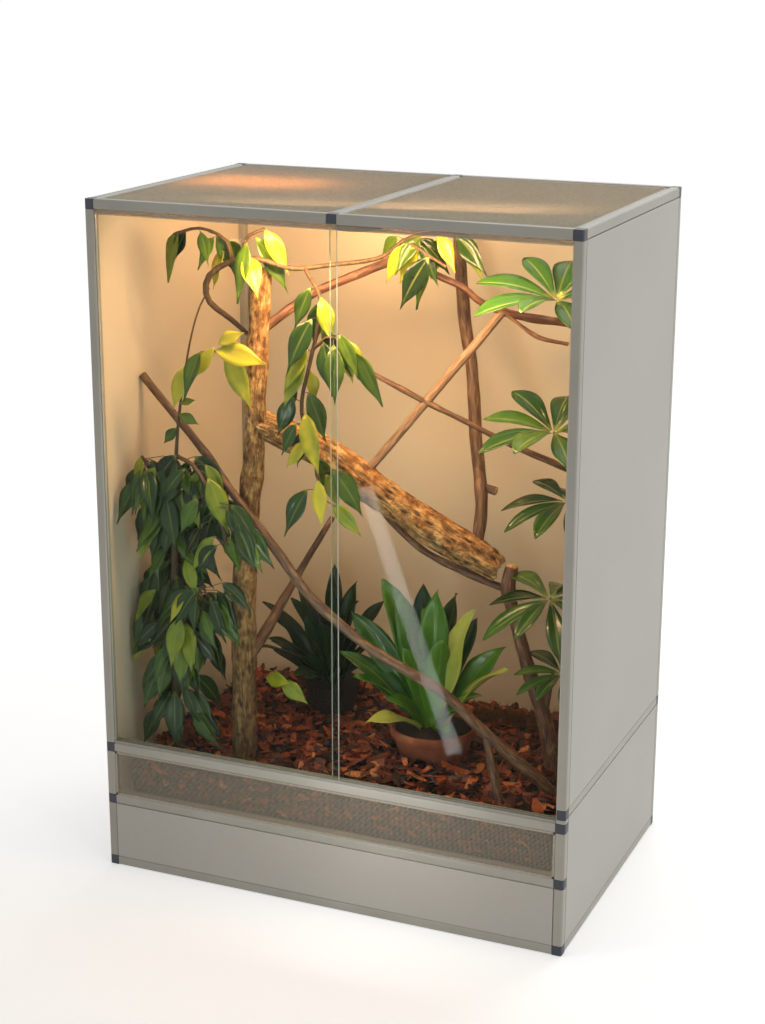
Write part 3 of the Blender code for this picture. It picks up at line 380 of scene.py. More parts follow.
def softened(name, kind, materials, body):
    # A merged copy of a CAD node with a small round on every sharp edge
    width, segments = softening[kind]
    bm = bmesh.new()
    bm.from_mesh(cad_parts[name].data)
    bmesh.ops.remove_doubles(bm, verts=bm.verts, dist=mergeDistance)
    bmesh.ops.dissolve_limit(bm, angle_limit=flatAngle, verts=bm.verts, edges=bm.edges)
    sharp = [e for e in bm.edges if len(e.link_faces) == 2 and e.calc_face_angle() > edgeAngle]
    bmesh.ops.bevel(bm, geom=sharp, offset=width, segments=segments, profile=0.5, affect="EDGES",
                    material=-1, clamp_overlap=True)
    bmesh.ops.triangulate(bm, faces=[f for f in bm.faces if len(f.verts) > 4])
    if kind == "glass":
        for face in bm.faces:
            face.material_index = 0 if abs(face.normal.y) > 0.9 else 1
    pieceName = "".join(word.title() if i else word for i, word in enumerate(name.split("_")))
    made = finishedPiece(pieceName, bm, materials, body, name, angle=50)
    made.modifiers.new("flatNormals", "WEIGHTED_NORMAL").keep_sharp = True


def dressCase():
    for name in sorted(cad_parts):
        if name.startswith(("post_", "rail_", "bar_")):
            softened(name, "tube", [paint], "root")
        elif name.startswith(("connector_", "tee_")):
            softened(name, "connector", [connectorPlastic], "root")
        elif name in panelFinish:
            softened(name, "panel", [panelFinish[name]], "root")
        elif name.startswith("track_"):
            finish = clearTrack if name == "track_top" else trackPlastic
            softened(name, "track", [finish], "root")
    softened("door_left", "glass", [doorGlass, glassEdge], "left_door")
    softened("door_right", "glass", [doorGlass, glassEdge], "right_door")


dressCase()
print("case dressed")


# Gauze: straight drawn wires in two layers, in a folded rim

topGauze = {"pitch": 0.0021, "wire": 0.0005, "rim": 0.007}
ventGauze = {"pitch": 0.0026, "wire": 0.0005, "rim": 0.004}


def wires(bm, low, high, thin, along, pitch, wire, layer):
    # Square wires side by side along one axis of a flat net
    across = 3 - thin - along
    count = int((high[across] - low[across]) / pitch)
    for number in range(count):
        centre, size = (low + high) / 2, Vector((wire, wire, wire))
        centre[across] = low[across] + (number + 0.5) * (high[across] - low[across]) / count
        centre[thin] += layer * wire / 2
        size[along] = high[along] - low[along]
        bmesh.ops.create_cube(bm, size=1.0, matrix=Matrix.LocRotScale(centre, None, size))


def wovenNet(node, name, settings):
    low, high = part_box(node)
    thin = min(range(3), key=lambda i: (high - low)[i])
    along = [i for i in range(3) if i != thin]
    bm = bmesh.new()
    inner = [low.copy(), high.copy()]
    for axis in along:
        inner[0][axis] += settings["rim"] / 2
        inner[1][axis] -= settings["rim"] / 2
    for layer, axis in zip((-1, 1), along):
        wires(bm, inner[0], inner[1], thin, axis, settings["pitch"], settings["wire"], layer)
    for axis in along:
        for side, inward in ((low, 1), (high, -1)):
            centre, size = (low + high) / 2, high - low
            centre[axis] = side[axis] + inward * settings["rim"] / 2
            size[axis] = settings["rim"]
            bmesh.ops.create_cube(bm, size=1.0, matrix=Matrix.LocRotScale(centre, None, size))
    finishedPiece(name, bm, [gauzeWire], "root", node, smooth=False)


wovenNet("gauze_top_left", "gauzeTopLeft", topGauze)
wovenNet("gauze_top_right", "gauzeTopRight", topGauze)
wovenNet("gauze_vent", "gauzeVent", ventGauze)
print("gauze woven")


# Bark

branchRoutes = {  # millimetres: x, y, z and radius along each branch
    "trunk": [
        (-243, -195, 212, 26), (-240, -190, 582, 24.5), (-220, -180, 876, 22), (-212, -175, 1041, 21.5),
        (-207, -170, 1161, 21.5), (-200, -170, 1264, 20.5),
    ],
    "trunkFork": [
        (-241, -190, 440, 12.5), (-219, -120, 508, 11), (-189, -30, 604, 8.5), (-155, 60, 700, 6),
    ],
    "support": [
        (375, 0, 212, 20), (350, 0, 331, 16.5), (309, 0, 450, 14.5), (277, 0, 556, 13),
        (264, -4, 616, 15.5), (270, 0, 664, 13),
    ],
    "supportArm": [
        (268, -3, 612, 9.5), (215, -3, 625, 8.5), (99, -5, 664, 8), (30, -20, 718, 8), (-20, -68, 805, 7),
    ],
    "supportKnot": [(345, 0, 345, 8), (356, 2, 420, 5.5), (362, 4, 452, 3)],
    "log": [
        (-216, -178, 955, 29), (-127, -100, 895, 32.5), (-63, -80, 852, 34.5), (44, -50, 776, 34.5),
        (137, -30, 718, 36), (245, -5, 655, 31),
    ],
    "long": [
        (-490, -143, 1018, 8.8), (-411, -170, 959, 8), (-309, -200, 876, 8.5), (-250, -225, 824, 9),
        (-145, -235, 714, 9.5), (-68, -235, 624, 10), (42, -225, 539, 10), (154, -210, 479, 10),
        (205, -200, 449, 10.5), (282, -185, 377, 11), (383, -150, 281, 12), (425, -100, 212, 12),
    ],
    "longProp": [(285, -184, 377, 8.5), (305, -195, 310, 8.5), (332, -207, 212, 9)],
    "rear": [
        (37, 309, 1328, 12), (50, 250, 1280, 12.5), (82, 200, 1130, 13.5), (116, 160, 1025, 13),
        (151, 100, 883, 13.5), (190, 30, 780, 13), (198, -12, 700, 13),
    ],
    "rearStub": [(180, 50, 808, 9), (214, 52, 800, 9.8)],
    "upper": [
        (-207, -170, 1135, 10), (-155, -120, 1184, 9.5), (-111, -100, 1213, 9), (0, -40, 1264, 9.2),
        (32, -20, 1281, 10), (79, 0, 1251, 7.5), (146, 20, 1219, 6.5), (178, 30, 1193, 7),
        (221, 50, 1171, 8.5), (281, 70, 1158, 8.5), (345, 90, 1151, 8), (490, 125, 1141, 8),
    ],
    "upperTwig": [(221, 50, 1171, 5), (261, 45, 1147, 4.2), (301, 45, 1126, 4.2), (357, 55, 1116, 3.5)],
    "straight": [(221, 50, 1171, 8.8), (95, -9, 1002, 9), (-30, -68, 835, 9)],
    "thin": [
        (-33, -30, 1043, 5.5), (83, -18, 991, 6), (177, 0, 948, 6.2), (249, 20, 912, 6.5),
        (359, 50, 866, 7), (490, 80, 814, 7),
    ],
}


def smoothPath(route, spacing):
    # Points at an even spacing on a smooth curve through a route, as (place, radius, distance)
    points = [Vector(p) for p in route]
    ends = [2 * points[0] - points[1], *points, 2 * points[-1] - points[-2]]
    fine, steps = [], 12
    for a, b, c, d in zip(ends, ends[1:], ends[2:], ends[3:]):
        for step in range(steps):
            t = step / steps
            bend = (2 * a - 5 * b + 4 * c - d) * t * t + (3 * b - 3 * c + d - a) * t ** 3
            fine.append(b + ((c - a) * t + bend) / 2)
    fine.append(points[-1])
    lengths = [0.0]
    for a, b in zip(fine, fine[1:]):
        lengths.append(lengths[-1] + (b.to_3d() - a.to_3d()).length)
    count = max(2, round(lengths[-1] / spacing))
    path = []
    for step in range(count + 1):
        distance = lengths[-1] * step / count
        i = min(max(bisect.bisect_right(lengths, distance) - 1, 0), len(fine) - 2)
        share = (distance - lengths[i]) / max(lengths[i + 1] - lengths[i], 1e-9)
        here = fine[i].lerp(fine[i + 1], share)
        path.append((here.to_3d(), here[3], distance))
    return path


def turnsAlong(path):  # two directions across a path at each of its points, which twist as little as they can
    turns, side = [], None
    for i in range(len(path)):
        ahead = (path[min(i + 1, len(path) - 1)][0] - path[max(i - 1, 0)][0]).normalized()
        if side is None:
            side = ahead.orthogonal().normalized()
        side = (side - ahead * side.dot(ahead)).normalized()
        turns.append((side, ahead.cross(side)))
    return turns


def around(angle, reach, along=0.0):  # a place on a ring
    return Vector((math.cos(angle) * reach, math.sin(angle) * reach, along))


def tornEnd(angle, radius, seed, ragged):  # how far the broken end falls back at an angle round the stem
    broad, fine = noise.noise(around(angle, 1.7, seed)), noise.noise(around(angle, 6.0, seed))
    return ragged * radius * min(1, max(0.05, 0.5 + 0.8 * broad + 0.45 * fine))


def barkTube(bm, route, spacing, sides, relief, seed=0.0, ragged=0.2, skin=0):
    # A grid wrapped round a route; relief gives how far the bark stands out at a place on it
    path = smoothPath(route, spacing)
    turns, steps, whole = turnsAlong(path), len(path) - 1, path[-1][2]
    part = bmesh.new()
    layer = part.verts.layers.float_vector.new("bark")
    bmesh.ops.create_grid(part, x_segments=steps, y_segments=sides, size=1.0)
    for vertex in part.verts:
        i = round((vertex.co.x + 1) / 2 * steps)
        angle = math.tau * (round((vertex.co.y + 1) / 2 * sides) % sides) / sides
        low = tornEnd(angle, path[0][1], seed, ragged)
        high = whole - tornEnd(angle, path[-1][1], seed + 40.0, ragged)
        distance = min(max(path[i][2], low), high)
        step = distance / whole * steps
        i = min(int(step), steps - 1)
        place = path[i][0].lerp(path[i + 1][0], step - i)
        radius = path[i][1] + (path[i + 1][1] - path[i][1]) * (step - i)
        ring = around(angle, radius, distance + seed)
        out = radius + relief(ring)
        vertex[layer] = ring
        vertex.co = place + (turns[i][0] * math.cos(angle) + turns[i][1] * math.sin(angle)) * out
    bmesh.ops.remove_doubles(part, verts=part.verts, dist=mergeDistance)
    ends = [e for e in part.edges if len(e.link_faces) == 1]
    caps = bmesh.ops.holes_fill(part, edges=ends, sides=0)["faces"]
    for cap in caps:
        cap.material_index = 1
    bmesh.ops.inset_individual(part, faces=caps, thickness=path[0][1] * 0.25, depth=-path[0][1] * 0.2)
    bmesh.ops.poke(part, faces=caps)
    bmesh.ops.recalc_face_normals(part, faces=part.faces)
    for face in part.faces:
        face.material_index = face.material_index or skin
    joinInto(bm, part)


def ridges(ring, look, seed):  # 0 in a crack to 1 on a ridge, stretched along the stem
    point = Vector((ring.x * look["around"], ring.y * look["around"], ring.z * look["lengthwise"] + seed))
    return 1 - min(1, 2.2 * abs(noise.noise(point) + 0.35 * noise.noise(point * 2.3)))


def pits(ring, spacing, seed):  # 1 in the middle of a pit to 0 on the bark between them
    point = Vector((ring.x / spacing, ring.y / spacing, ring.z / spacing * 0.7 + seed))
    return max(0, 1 - noise.voronoi(point)[0][0] / 0.42)


barkLooks = {  # sizes in metres; around and lengthwise are cracks to the metre
    "trunk": {"spacing": 0.0036, "sides": 64, "ridge": 0.0008, "around": 60, "lengthwise": 22, "lump": 0.0040,
              "pit": 0.0032, "pitSpacing": 0.0125},
    "cork": {"spacing": 0.0034, "sides": 72, "ridge": 0.0042, "around": 52, "lengthwise": 12, "lump": 0.0050,
             "pit": 0.0030, "pitSpacing": 0.0140},
    "branch": {"spacing": 0.0050, "sides": 24, "ridge": 0.0007, "around": 200, "lengthwise": 14, "lump": 0.0018,
               "pit": 0.0, "pitSpacing": 0.0125},
}


def reliefOf(look, seed):
    def relief(ring):
        lump = noise.noise(ring * 20 + Vector((seed, 0, 0)))
        crack = ridges(ring, look, seed) - 0.75
        grain = noise.noise(ring * 190)
        sunk = look["pit"] * pits(ring, look["pitSpacing"], seed) if look["pit"] else 0
        return look["lump"] * lump + look["ridge"] * (crack + 0.3 * grain) - sunk
    return relief


def pittedBark(name, stops, pitSpacing, stretch, pitAndShadeColour, roughness, footShadeTone):
    # old bark worn smooth: pale, with dark pits and a few lengthwise cracks, darkened partly in the bark's own
    # colour and partly as painted shade, and darker towards its foot, a painted shade of the leaves round it
    material, tree, shader = newFinish(name, roughness, ior=1.4)
    ring = add(tree, "Attribute", attribute_name="bark").outputs["Vector"]
    wander = add(tree, "TexNoise", {"Vector": ring, "Scale": 130.0, "Detail": 3.0})
    loose = add(tree, "VectorMath", {
        0: wander.outputs["Color"], 1: (0.007, 0.007, 0.007), 2: ring}, operation="MULTIPLY_ADD")
    patches = add(tree, "TexNoise", {"Vector": loose, "Scale": 48.0, "Detail": 8.0, "Roughness": 0.68})
    colour = add(tree, "ValToRGB", {"Fac": patches}, stops=stops)
    along = add(tree, "Mapping", {"Vector": loose, "Scale": (1, 1, stretch)})
    cells = add(tree, "TexVoronoi", {"Vector": along, "Scale": 1 / pitSpacing})
    sunk = add(tree, "MapRange", {"Value": cells, "From Min": 0.10, "From Max": 0.46})
    small = add(tree, "TexVoronoi", {"Vector": along, "Scale": 2.6 / pitSpacing})
    prick = add(tree, "MapRange", {"Value": small, "From Min": 0.10, "From Max": 0.30, "To Min": 0.45})
    lengthways = add(tree, "Mapping", {"Vector": loose, "Scale": (1, 1, 0.10)})
    lines = add(tree, "TexNoise", {"Vector": lengthways, "Scale": 120.0, "Detail": 4.0})
    split = add(tree, "Math", {0: lines, 1: 0.5}, operation="PINGPONG")
    crack = add(tree, "MapRange", {
        "Value": split, "From Min": 0.44, "From Max": 0.49, "To Min": 1.0, "To Max": 0.35})
    pitted = add(tree, "Math", {0: sunk, 1: prick}, operation="MULTIPLY")
    whole = add(tree, "Math", {0: pitted, 1: crack}, operation="MULTIPLY")
    # dark pits and cracks: partly the bark's own darker colour, and partly painted shade in the recesses
    worn = add(tree, "Mix", {0: whole, 6: linear(pitAndShadeColour), 7: colour}, data_type="RGBA")
    # the bark grows darker towards its foot: a painted shade of the leaves round it
    high = add(tree, "SeparateXYZ", {0: ring}).outputs[2]
    paintedFootShade = add(tree, "MapRange", {
        "Value": high, "From Min": 0.05, "From Max": 0.75, "To Min": footShadeTone, "To Max": 1.0})
    footShaded = add(tree, "VectorMath", {0: worn.outputs[2], "Scale": paintedFootShade}, operation="SCALE")
    grit = add(tree, "TexNoise", {"Vector": ring, "Scale": 520.0, "Detail": 5.0})
    height = add(tree, "Math", {0: grit, 1: 0.5, 2: whole}, operation="MULTIPLY_ADD")
    bump = add(tree, "Bump", {"Height": height, "Strength": 0.8, "Distance": 0.0018})
    feed(shader, {"Base Color": footShaded, "Normal": bump})
    return material


def grainedBark(name, stops, blotchColour, blotches, roughness):
    # thin bark of a dried branch: fine lengthwise grain, scuffed in places to another colour
    material, tree, shader = newFinish(name, roughness, ior=1.45)
    ring = add(tree, "Attribute", attribute_name="bark").outputs["Vector"]
    lengthways = add(tree, "Mapping", {"Vector": ring, "Scale": (1, 1, 0.09)})
    grain = add(tree, "TexNoise", {"Vector": lengthways, "Scale": 380.0, "Detail": 6.0, "Roughness": 0.6})
    colour = add(tree, "ValToRGB", {"Fac": grain}, stops=stops)
    broad = add(tree, "Mapping", {"Vector": ring, "Scale": (1, 1, 0.35)})
    scuffs = add(tree, "TexNoise", {"Vector": broad, "Scale": 75.0, "Detail": 6.0, "Roughness": 0.7})
    scuffed = add(tree, "MapRange", {"Value": scuffs, "From Min": 0.52, "From Max": 0.66, "To Max": blotches})
    both = add(tree, "Mix", {0: scuffed, 6: colour, 7: linear(blotchColour)}, data_type="RGBA")
    height = add(tree, "Math", {0: scuffs, 1: 0.8, 2: grain}, operation="MULTIPLY_ADD")
    bump = add(tree, "Bump", {"Height": height, "Strength": 0.6, "Distance": 0.0009})
    feed(shader, {"Base Color": both.outputs[2], "Normal": bump})
    return material


trunkBark = pittedBark(
    "wornTrunkBark", [(0.32, "7A4E2E"), (0.45, "B4834C"), (0.58, "DCAE6E"), (0.74, "F4DAA2")],
    0.0125, 0.45, "5E3B20", 0.7, 0.30)
corkBark = pittedBark(
    "crackedCorkBark", [(0.32, "6A4426"), (0.45, "B57E48"), (0.58, "E0B070"), (0.74, "F6D89C")],
    0.0140, 0.35, "38210F", 0.75, 1.0)
branchBark = grainedBark(
    "scuffedBranchBark", [(0.32, "2C1C12"), (0.50, "5E412E"), (0.68, "8C6A4C")], "B08660", 0.55, 0.5)
redBark = grainedBark(
    "mottledRedBark", [(0.32, "38211A"), (0.50, "6A4330"), (0.68, "966848")], "B98F6A", 0.6, 0.5)
paleBark = grainedBark(
    "smoothStickBark", [(0.32, "6E533F"), (0.50, "9A7A5E"), (0.68, "C4A284")], "6E5038", 0.4, 0.5)
brokenWood = grainedBark(
    "brokenWoodFibres", [(0.32, "7E5730"), (0.50, "C29A66"), (0.68, "E6C897")], "5E3D20", 0.5, 0.9)


def barkPiece(name, routes, lookName, finishes, node, ragged=0.2):
    # The first finish is for the first route, the last for the other routes
    bm = bmesh.new()
    for number, route in enumerate(routes):
        look = barkLooks["branch" if number else lookName]
        skin = 2 if number and len(finishes) > 1 else 0
        barkTube(bm, metresAlong(branchRoutes[route]), barkLooks[lookName]["spacing"], look["sides"],
                 reliefOf(look, 3.7 * number), 5.0 * number, ragged, skin)
    finishedPiece(name, bm, [finishes[0], brokenWood, *finishes[1:]], "root", node, angle=70)


barkPiece("mainTrunk", ["trunk", "trunkFork"], "trunk", [trunkBark, branchBark], "main_trunk",
          0.9)
barkPiece("corkLog", ["log"], "cork", [corkBark], "cork_log", 0.9)
barkPiece("supportBranch", ["support", "supportArm", "supportKnot"], "branch", [redBark],
          "support_branch")
barkPiece("longBranch", ["long", "longProp"], "branch", [branchBark], "long_branch")
barkPiece("rearTrunk", ["rear", "rearStub"], "branch", [branchBark], "rear_trunk")
barkPiece("upperBranch", ["upper", "upperTwig"], "branch", [redBark], "upper_branch")
barkPiece("crossedSticks", ["straight", "thin"], "branch", [paleBark, branchBark],
          "crossed_sticks")
print("branches grown")


# Bark bed

chipBed = {
    "top": 0.238,
    "floor": 0.1565,
    "half": (0.466, 0.291),
    "lowered": 0.010,  # of the solid bed under the chips
    "sideGap": 0.01,
    "topChips": 2900,
    "frontChips": 460,
    "length": (0.016, 0.050),
    "frontLength": (0.014, 0.030),
    "slimness": (0.26, 0.52),
    "thick": (0.0020, 0.0046),
    "sunk": (0.001, 0.010),
    "lean": (0.35, 0.30),
    "frontLean": (0.5, 0.15),
    "wave": (0.006, 9),  # height, and waves to the metre
    "mound": (0.026, 0.105, 0.09),  # height, how far from the pot's middle its crest lies, and how wide it is
    "moundAt": (0.118, -0.040),
    "batch": 60,
    "fibres": {  # a tuft of dried fibre along the rear wall, right of the middle
        "from": (0.115, 0.180),
        "to": (0.290, 0.235),
        "strands": 420,
        "length": (0.018, 0.042),
        "radii": (0.0013, 0.0002),
        "lean": (0.5, 0.5),
        "sunk": 0.004,
    },
}


def chipFinish():  # pine bark flakes: near black to rust, each its own tone, with fibres and a slight sheen
    material, tree, shader = newFinish("pineBarkChips", 0.48, ior=1.42)
    tone = add(tree, "Attribute", attribute_name="tone").outputs["Fac"]
    colour = add(tree, "ValToRGB", {"Fac": tone}, stops=[
        (0.0, "1C0D09"), (0.28, "4A2114"), (0.55, "86391C"), (0.8, "C4602C"), (1.0, "E08A4A")])
    place = add(tree, "TexCoord").outputs["Object"]
    fibres = add(tree, "TexNoise", {"Vector": place, "Scale": 320.0, "Detail": 5.0})
    worn = add(tree, "ValToRGB", {"Fac": fibres}, stops=[(0.35, "6A5A50"), (0.62, "FFFFFF")])
    colours = add(tree, "Mix", {0: 0.8, 6: colour, 7: worn}, data_type="RGBA", blend_type="MULTIPLY")
    bump = add(tree, "Bump", {"Height": fibres, "Strength": 0.5, "Distance": 0.001})
    feed(shader, {"Base Color": colours.outputs[2], "Normal": bump})
    return material


def leaning(chance, leanX, leanY):  # a random tilt, by its spread about each axis
    return Matrix.Rotation(chance.gauss(0, leanX), 3, "X") @ Matrix.Rotation(chance.gauss(0, leanY), 3, "Y")


def chip(part, layer, place, turn, length, chance):
    # One flake: a flat bar cut across three times, thinned to its ends, curled and twisted
    first = len(part.verts)
    bar = bmesh.ops.create_cube(part, size=1.0)["verts"]
    sides = {e for v in bar for e in v.link_edges}
    lengths = [e for e in sides if abs(e.verts[0].co.x - e.verts[1].co.x) > 0.5]
    bmesh.ops.subdivide_edges(part, edges=lengths, cuts=3)
    part.verts.ensure_lookup_table()
    wide = length * chance.uniform(*chipBed["slimness"])
    thick = chance.uniform(*chipBed["thick"])
    curl, twist = chance.gauss(0, 0.16), chance.gauss(0, 0.7)
    tone = bounded(chance.gauss(0.44, 0.26))
    for vertex in part.verts[first:]:
        x, y, z = vertex.co
        slim = 1 - 2.4 * x * x * chance.uniform(0.7, 1.2)
        local = Vector((x * length * chance.uniform(0.9, 1.1), y * wide * slim * chance.uniform(0.8, 1.2),
                        z * thick * (0.4 + 0.6 * slim)))
        local = Matrix.Rotation(twist * x, 3, "X") @ local
        local.z += curl * length * (4 * x * x - 0.5)
        vertex.co = place + turn @ local
        vertex[layer] = tone


def chipPlaces(chance):  # where each flake lies: (place, turn, length)
    halfX, halfY = chipBed["half"]
    high, crest, wide = chipBed["mound"]
    swell, waves = chipBed["wave"]
    places = []
    for _ in range(chipBed["topChips"]):
        x, y = chance.uniform(-halfX, halfX), chance.uniform(-halfY, halfY)
        away = (Vector((x, y)) - Vector(chipBed["moundAt"])).length
        mound = high * max(0, 1 - abs(away - crest) / wide)
        wave = swell * noise.noise(Vector((x * waves, y * waves, 0)))
        lean = leaning(chance, *chipBed["lean"])
        turn = Matrix.Rotation(chance.uniform(0, math.tau), 3, "Z") @ lean
        length = chance.uniform(*chipBed["length"])
        z = chipBed["top"] + wave + mound - chance.uniform(*chipBed["sunk"])
        inX, inY = halfX - length / 2, halfY - length / 2
        places.append((Vector((max(-inX, min(inX, x)), max(-inY, min(inY, y)), z)), turn, length))
    leanX, leanZ = chipBed["frontLean"]
    for _ in range(chipBed["frontChips"]):
        x = chance.uniform(-halfX + 0.016, halfX - 0.016)
        z = chance.uniform(chipBed["floor"] + 0.012, chipBed["top"] - chipBed["lowered"])
        turn = Matrix.Rotation(math.pi / 2, 3, "X") @ Matrix.Rotation(chance.gauss(0, leanX), 3, "Z")
        lean = Matrix.Rotation(chance.gauss(0, leanZ), 3, "Z")
        places.append((Vector((x, -halfY + 0.003, z)), lean @ turn, chance.uniform(*chipBed["frontLength"])))
    return places


def fringe(bm, chance):
    part, fibres = bmesh.new(), chipBed["fibres"]
    low, high = fibres["from"], fibres["to"]
    thick, thin = fibres["radii"]
    level = chipBed["top"] - fibres["sunk"]
    for _ in range(fibres["strands"]):
        base = Vector((chance.uniform(low[0], high[0]), chance.uniform(low[1], high[1]), level))
        long = chance.uniform(*fibres["length"])
        lean = leaning(chance, *fibres["lean"]).to_4x4()
        bmesh.ops.create_cone(part, cap_ends=True, segments=3, radius1=thick, radius2=thin, depth=long,
                              matrix=Matrix.Translation(base) @ lean @ Matrix.Translation((0, 0, long / 2)))
    joinInto(bm, part, 1)


def chipsOnBed():
    chance = random.Random(11)
    bm = bmesh.new()
    bm.verts.layers.float.new("tone")
    halfX, halfY = chipBed["half"]
    top, bottom, gap = chipBed["top"] - chipBed["lowered"], chipBed["floor"], chipBed["sideGap"]
    bmesh.ops.create_cube(bm, size=1.0, matrix=Matrix.LocRotScale(
        Vector((0, 0, (top + bottom) / 2)), None, Vector((2 * halfX - gap, 2 * halfY - gap, top - bottom))))
    places = chipPlaces(chance)
    for first in range(0, len(places), chipBed["batch"]):
        part = bmesh.new()
        layer = part.verts.layers.float.new("tone")
        for place, turn, length in places[first:first + chipBed["batch"]]:
            chip(part, layer, place, turn, length, chance)
        joinInto(bm, part)
    fringe(bm, chance)
    # dried moss and root fibre: straw brown, matt
    fibres = mottled("driedFibreMat", [(0.3, "3E2A18"), (0.55, "7E5C34"), (0.75, "B58C54")],
                     {"Scale": 420.0, "Detail": 3.0}, 0.9, ior=1.4)
    finishedPiece("barkBed", bm, [chipFinish(), fibres], "root", "bark_bed", angle=35)


chipsOnBed()
print("bark bed laid")


# Leaves

leafShapes = {  # share of the half width at even steps from the stalk to the tip
    "fig": (0.06, 0.46, 0.80, 0.98, 1.00, 0.84, 0.52, 0.17, 0.02),
    "umbrella": (0.10, 0.28, 0.50, 0.74, 0.93, 1.00, 0.90, 0.60, 0.06),
    "strap": (0.26, 0.40, 0.66, 0.90, 1.00, 0.98, 0.84, 0.52, 0.03),
}


def leafFinish(name, stops, veinColour, roughness, veins, glow, ribShare=0.55, veinShare=0.12):
    # a living leaf: waxy and glossy, a pale midrib with side veins, and light shining through
    material, tree, shader = newFinish(name, roughness, ior=1.45)
    onLeaf = add(tree, "Attribute", attribute_name="blade").outputs["Vector"]
    share, across, tone = add(tree, "SeparateXYZ", {0: onLeaf}).outputs
    place = add(tree, "TexCoord").outputs["Object"]
    cloud = add(tree, "TexNoise", {"Vector": place, "Scale": 55.0, "Detail": 3.0})
    toned = add(tree, "Math", {0: cloud, 1: 0.30, 2: tone}, operation="MULTIPLY_ADD")
    colour = add(tree, "ValToRGB", {"Fac": toned}, stops=stops)
    off = add(tree, "Math", {0: across}, operation="ABSOLUTE")
    rib = add(tree, "MapRange", {
        "Value": off, "From Min": 0.03, "From Max": 0.11, "To Min": ribShare, "To Max": 0.0})
    slant = add(tree, "Math", {0: off, 1: -0.35, 2: share}, operation="MULTIPLY_ADD")
    waves = add(tree, "Math", {0: slant, 1: veins * math.tau}, operation="MULTIPLY")
    sine = add(tree, "Math", {0: waves}, operation="SINE")
    side = add(tree, "MapRange", {"Value": sine, "From Min": 0.70, "From Max": 1.0, "To Max": veinShare})
    vein = add(tree, "Math", {0: rib, 1: side}, operation="MAXIMUM")
    foot = add(tree, "MapRange", {
        "Value": share, "From Min": 0.0, "From Max": 0.12, "To Min": 0.8, "To Max": 0.0})
    pale = add(tree, "Math", {0: vein, 1: foot}, operation="MAXIMUM")
    colours = add(tree, "Mix", {0: pale, 6: colour, 7: linear(veinColour)}, data_type="RGBA").outputs[2]
    bump = add(tree, "Bump", {"Height": vein, "Strength": 0.35, "Distance": 0.0008})
    feed(shader, {"Base Color": colours, "Normal": bump})
    through = add(tree, "BsdfTranslucent", {"Color": colours})
    mixed = add(tree, "MixShader", {"Fac": glow, 1: shader, 2: through})
    feed(tree.nodes["Material Output"], {"Surface": mixed})
    return material


def blade(bm, layer, shape, base, ahead, up, length, width, droop, fold, wave, tone, cuts=(8, 4)):
    # One leaf from a small grid: ahead is its direction, up its upper side
    outline = leafShapes[shape]
    side = up.cross(ahead).normalized()
    top = ahead.cross(side)
    for vertex in bmesh.ops.create_grid(bm, x_segments=cuts[0], y_segments=cuts[1], size=1.0)["verts"]:
        share, across = (vertex.co.x + 1) / 2, vertex.co.y
        step = share * (len(outline) - 1)
        i = min(int(step), len(outline) - 2)
        half = width / 2 * (outline[i] + (outline[i + 1] - outline[i]) * (step - i))
        lift = fold * abs(across) * half + wave * width * across * math.sin(9 * share + 5 * tone)
        curve = -droop * length * share * share
        vertex[layer] = (share, across, tone)
        vertex.co = base + ahead * length * share + side * across * half + top * lift + Vector((0, 0, curve))


def grainedStem(name, stops, roughness):  # a young stem or stalk: smooth skin, streaked upwards
    return mottled(name, stops, {"Scale": 260.0, "Detail": 4.0}, roughness, ior=1.45, stretch=(1, 1, 0.15),
                   bump=(0.3, 0.0005))


def plantStem(bm, layer, route, sides=8):
    # A bare green or brown stem, in the piece's second material
    path = smoothPath(route, 0.02)
    turns, steps = turnsAlong(path), len(path) - 1
    part = bmesh.new()
    bmesh.ops.create_grid(part, x_segments=steps, y_segments=sides, size=1.0)
    for vertex in part.verts:
        i = round((vertex.co.x + 1) / 2 * steps)
        angle = math.tau * round((vertex.co.y + 1) / 2 * sides) / sides
        place, radius, _ = path[i]
        vertex.co = place + (turns[i][0] * math.cos(angle) + turns[i][1] * math.sin(angle)) * radius
    bmesh.ops.remove_doubles(part, verts=part.verts, dist=mergeDistance)
    bmesh.ops.holes_fill(part, edges=[e for e in part.edges if len(e.link_faces) == 1], sides=0)
    bmesh.ops.recalc_face_normals(part, faces=part.faces)
    joinInto(bm, part, 1)


def onRoute(route, share):
    place = share * (len(route) - 1)
    i = min(int(place), len(route) - 2)
    return Vector(route[i]).lerp(Vector(route[i + 1]), place - i).to_3d()


def leafPiece(name, bm, materials, node, thickness=0.0006):
    made = finishedPiece(name, bm, materials, "root", node, angle=60)
    wall = made.modifiers.new("leafThickness", "SOLIDIFY")
    wall.thickness = thickness
    wall.offset = 0


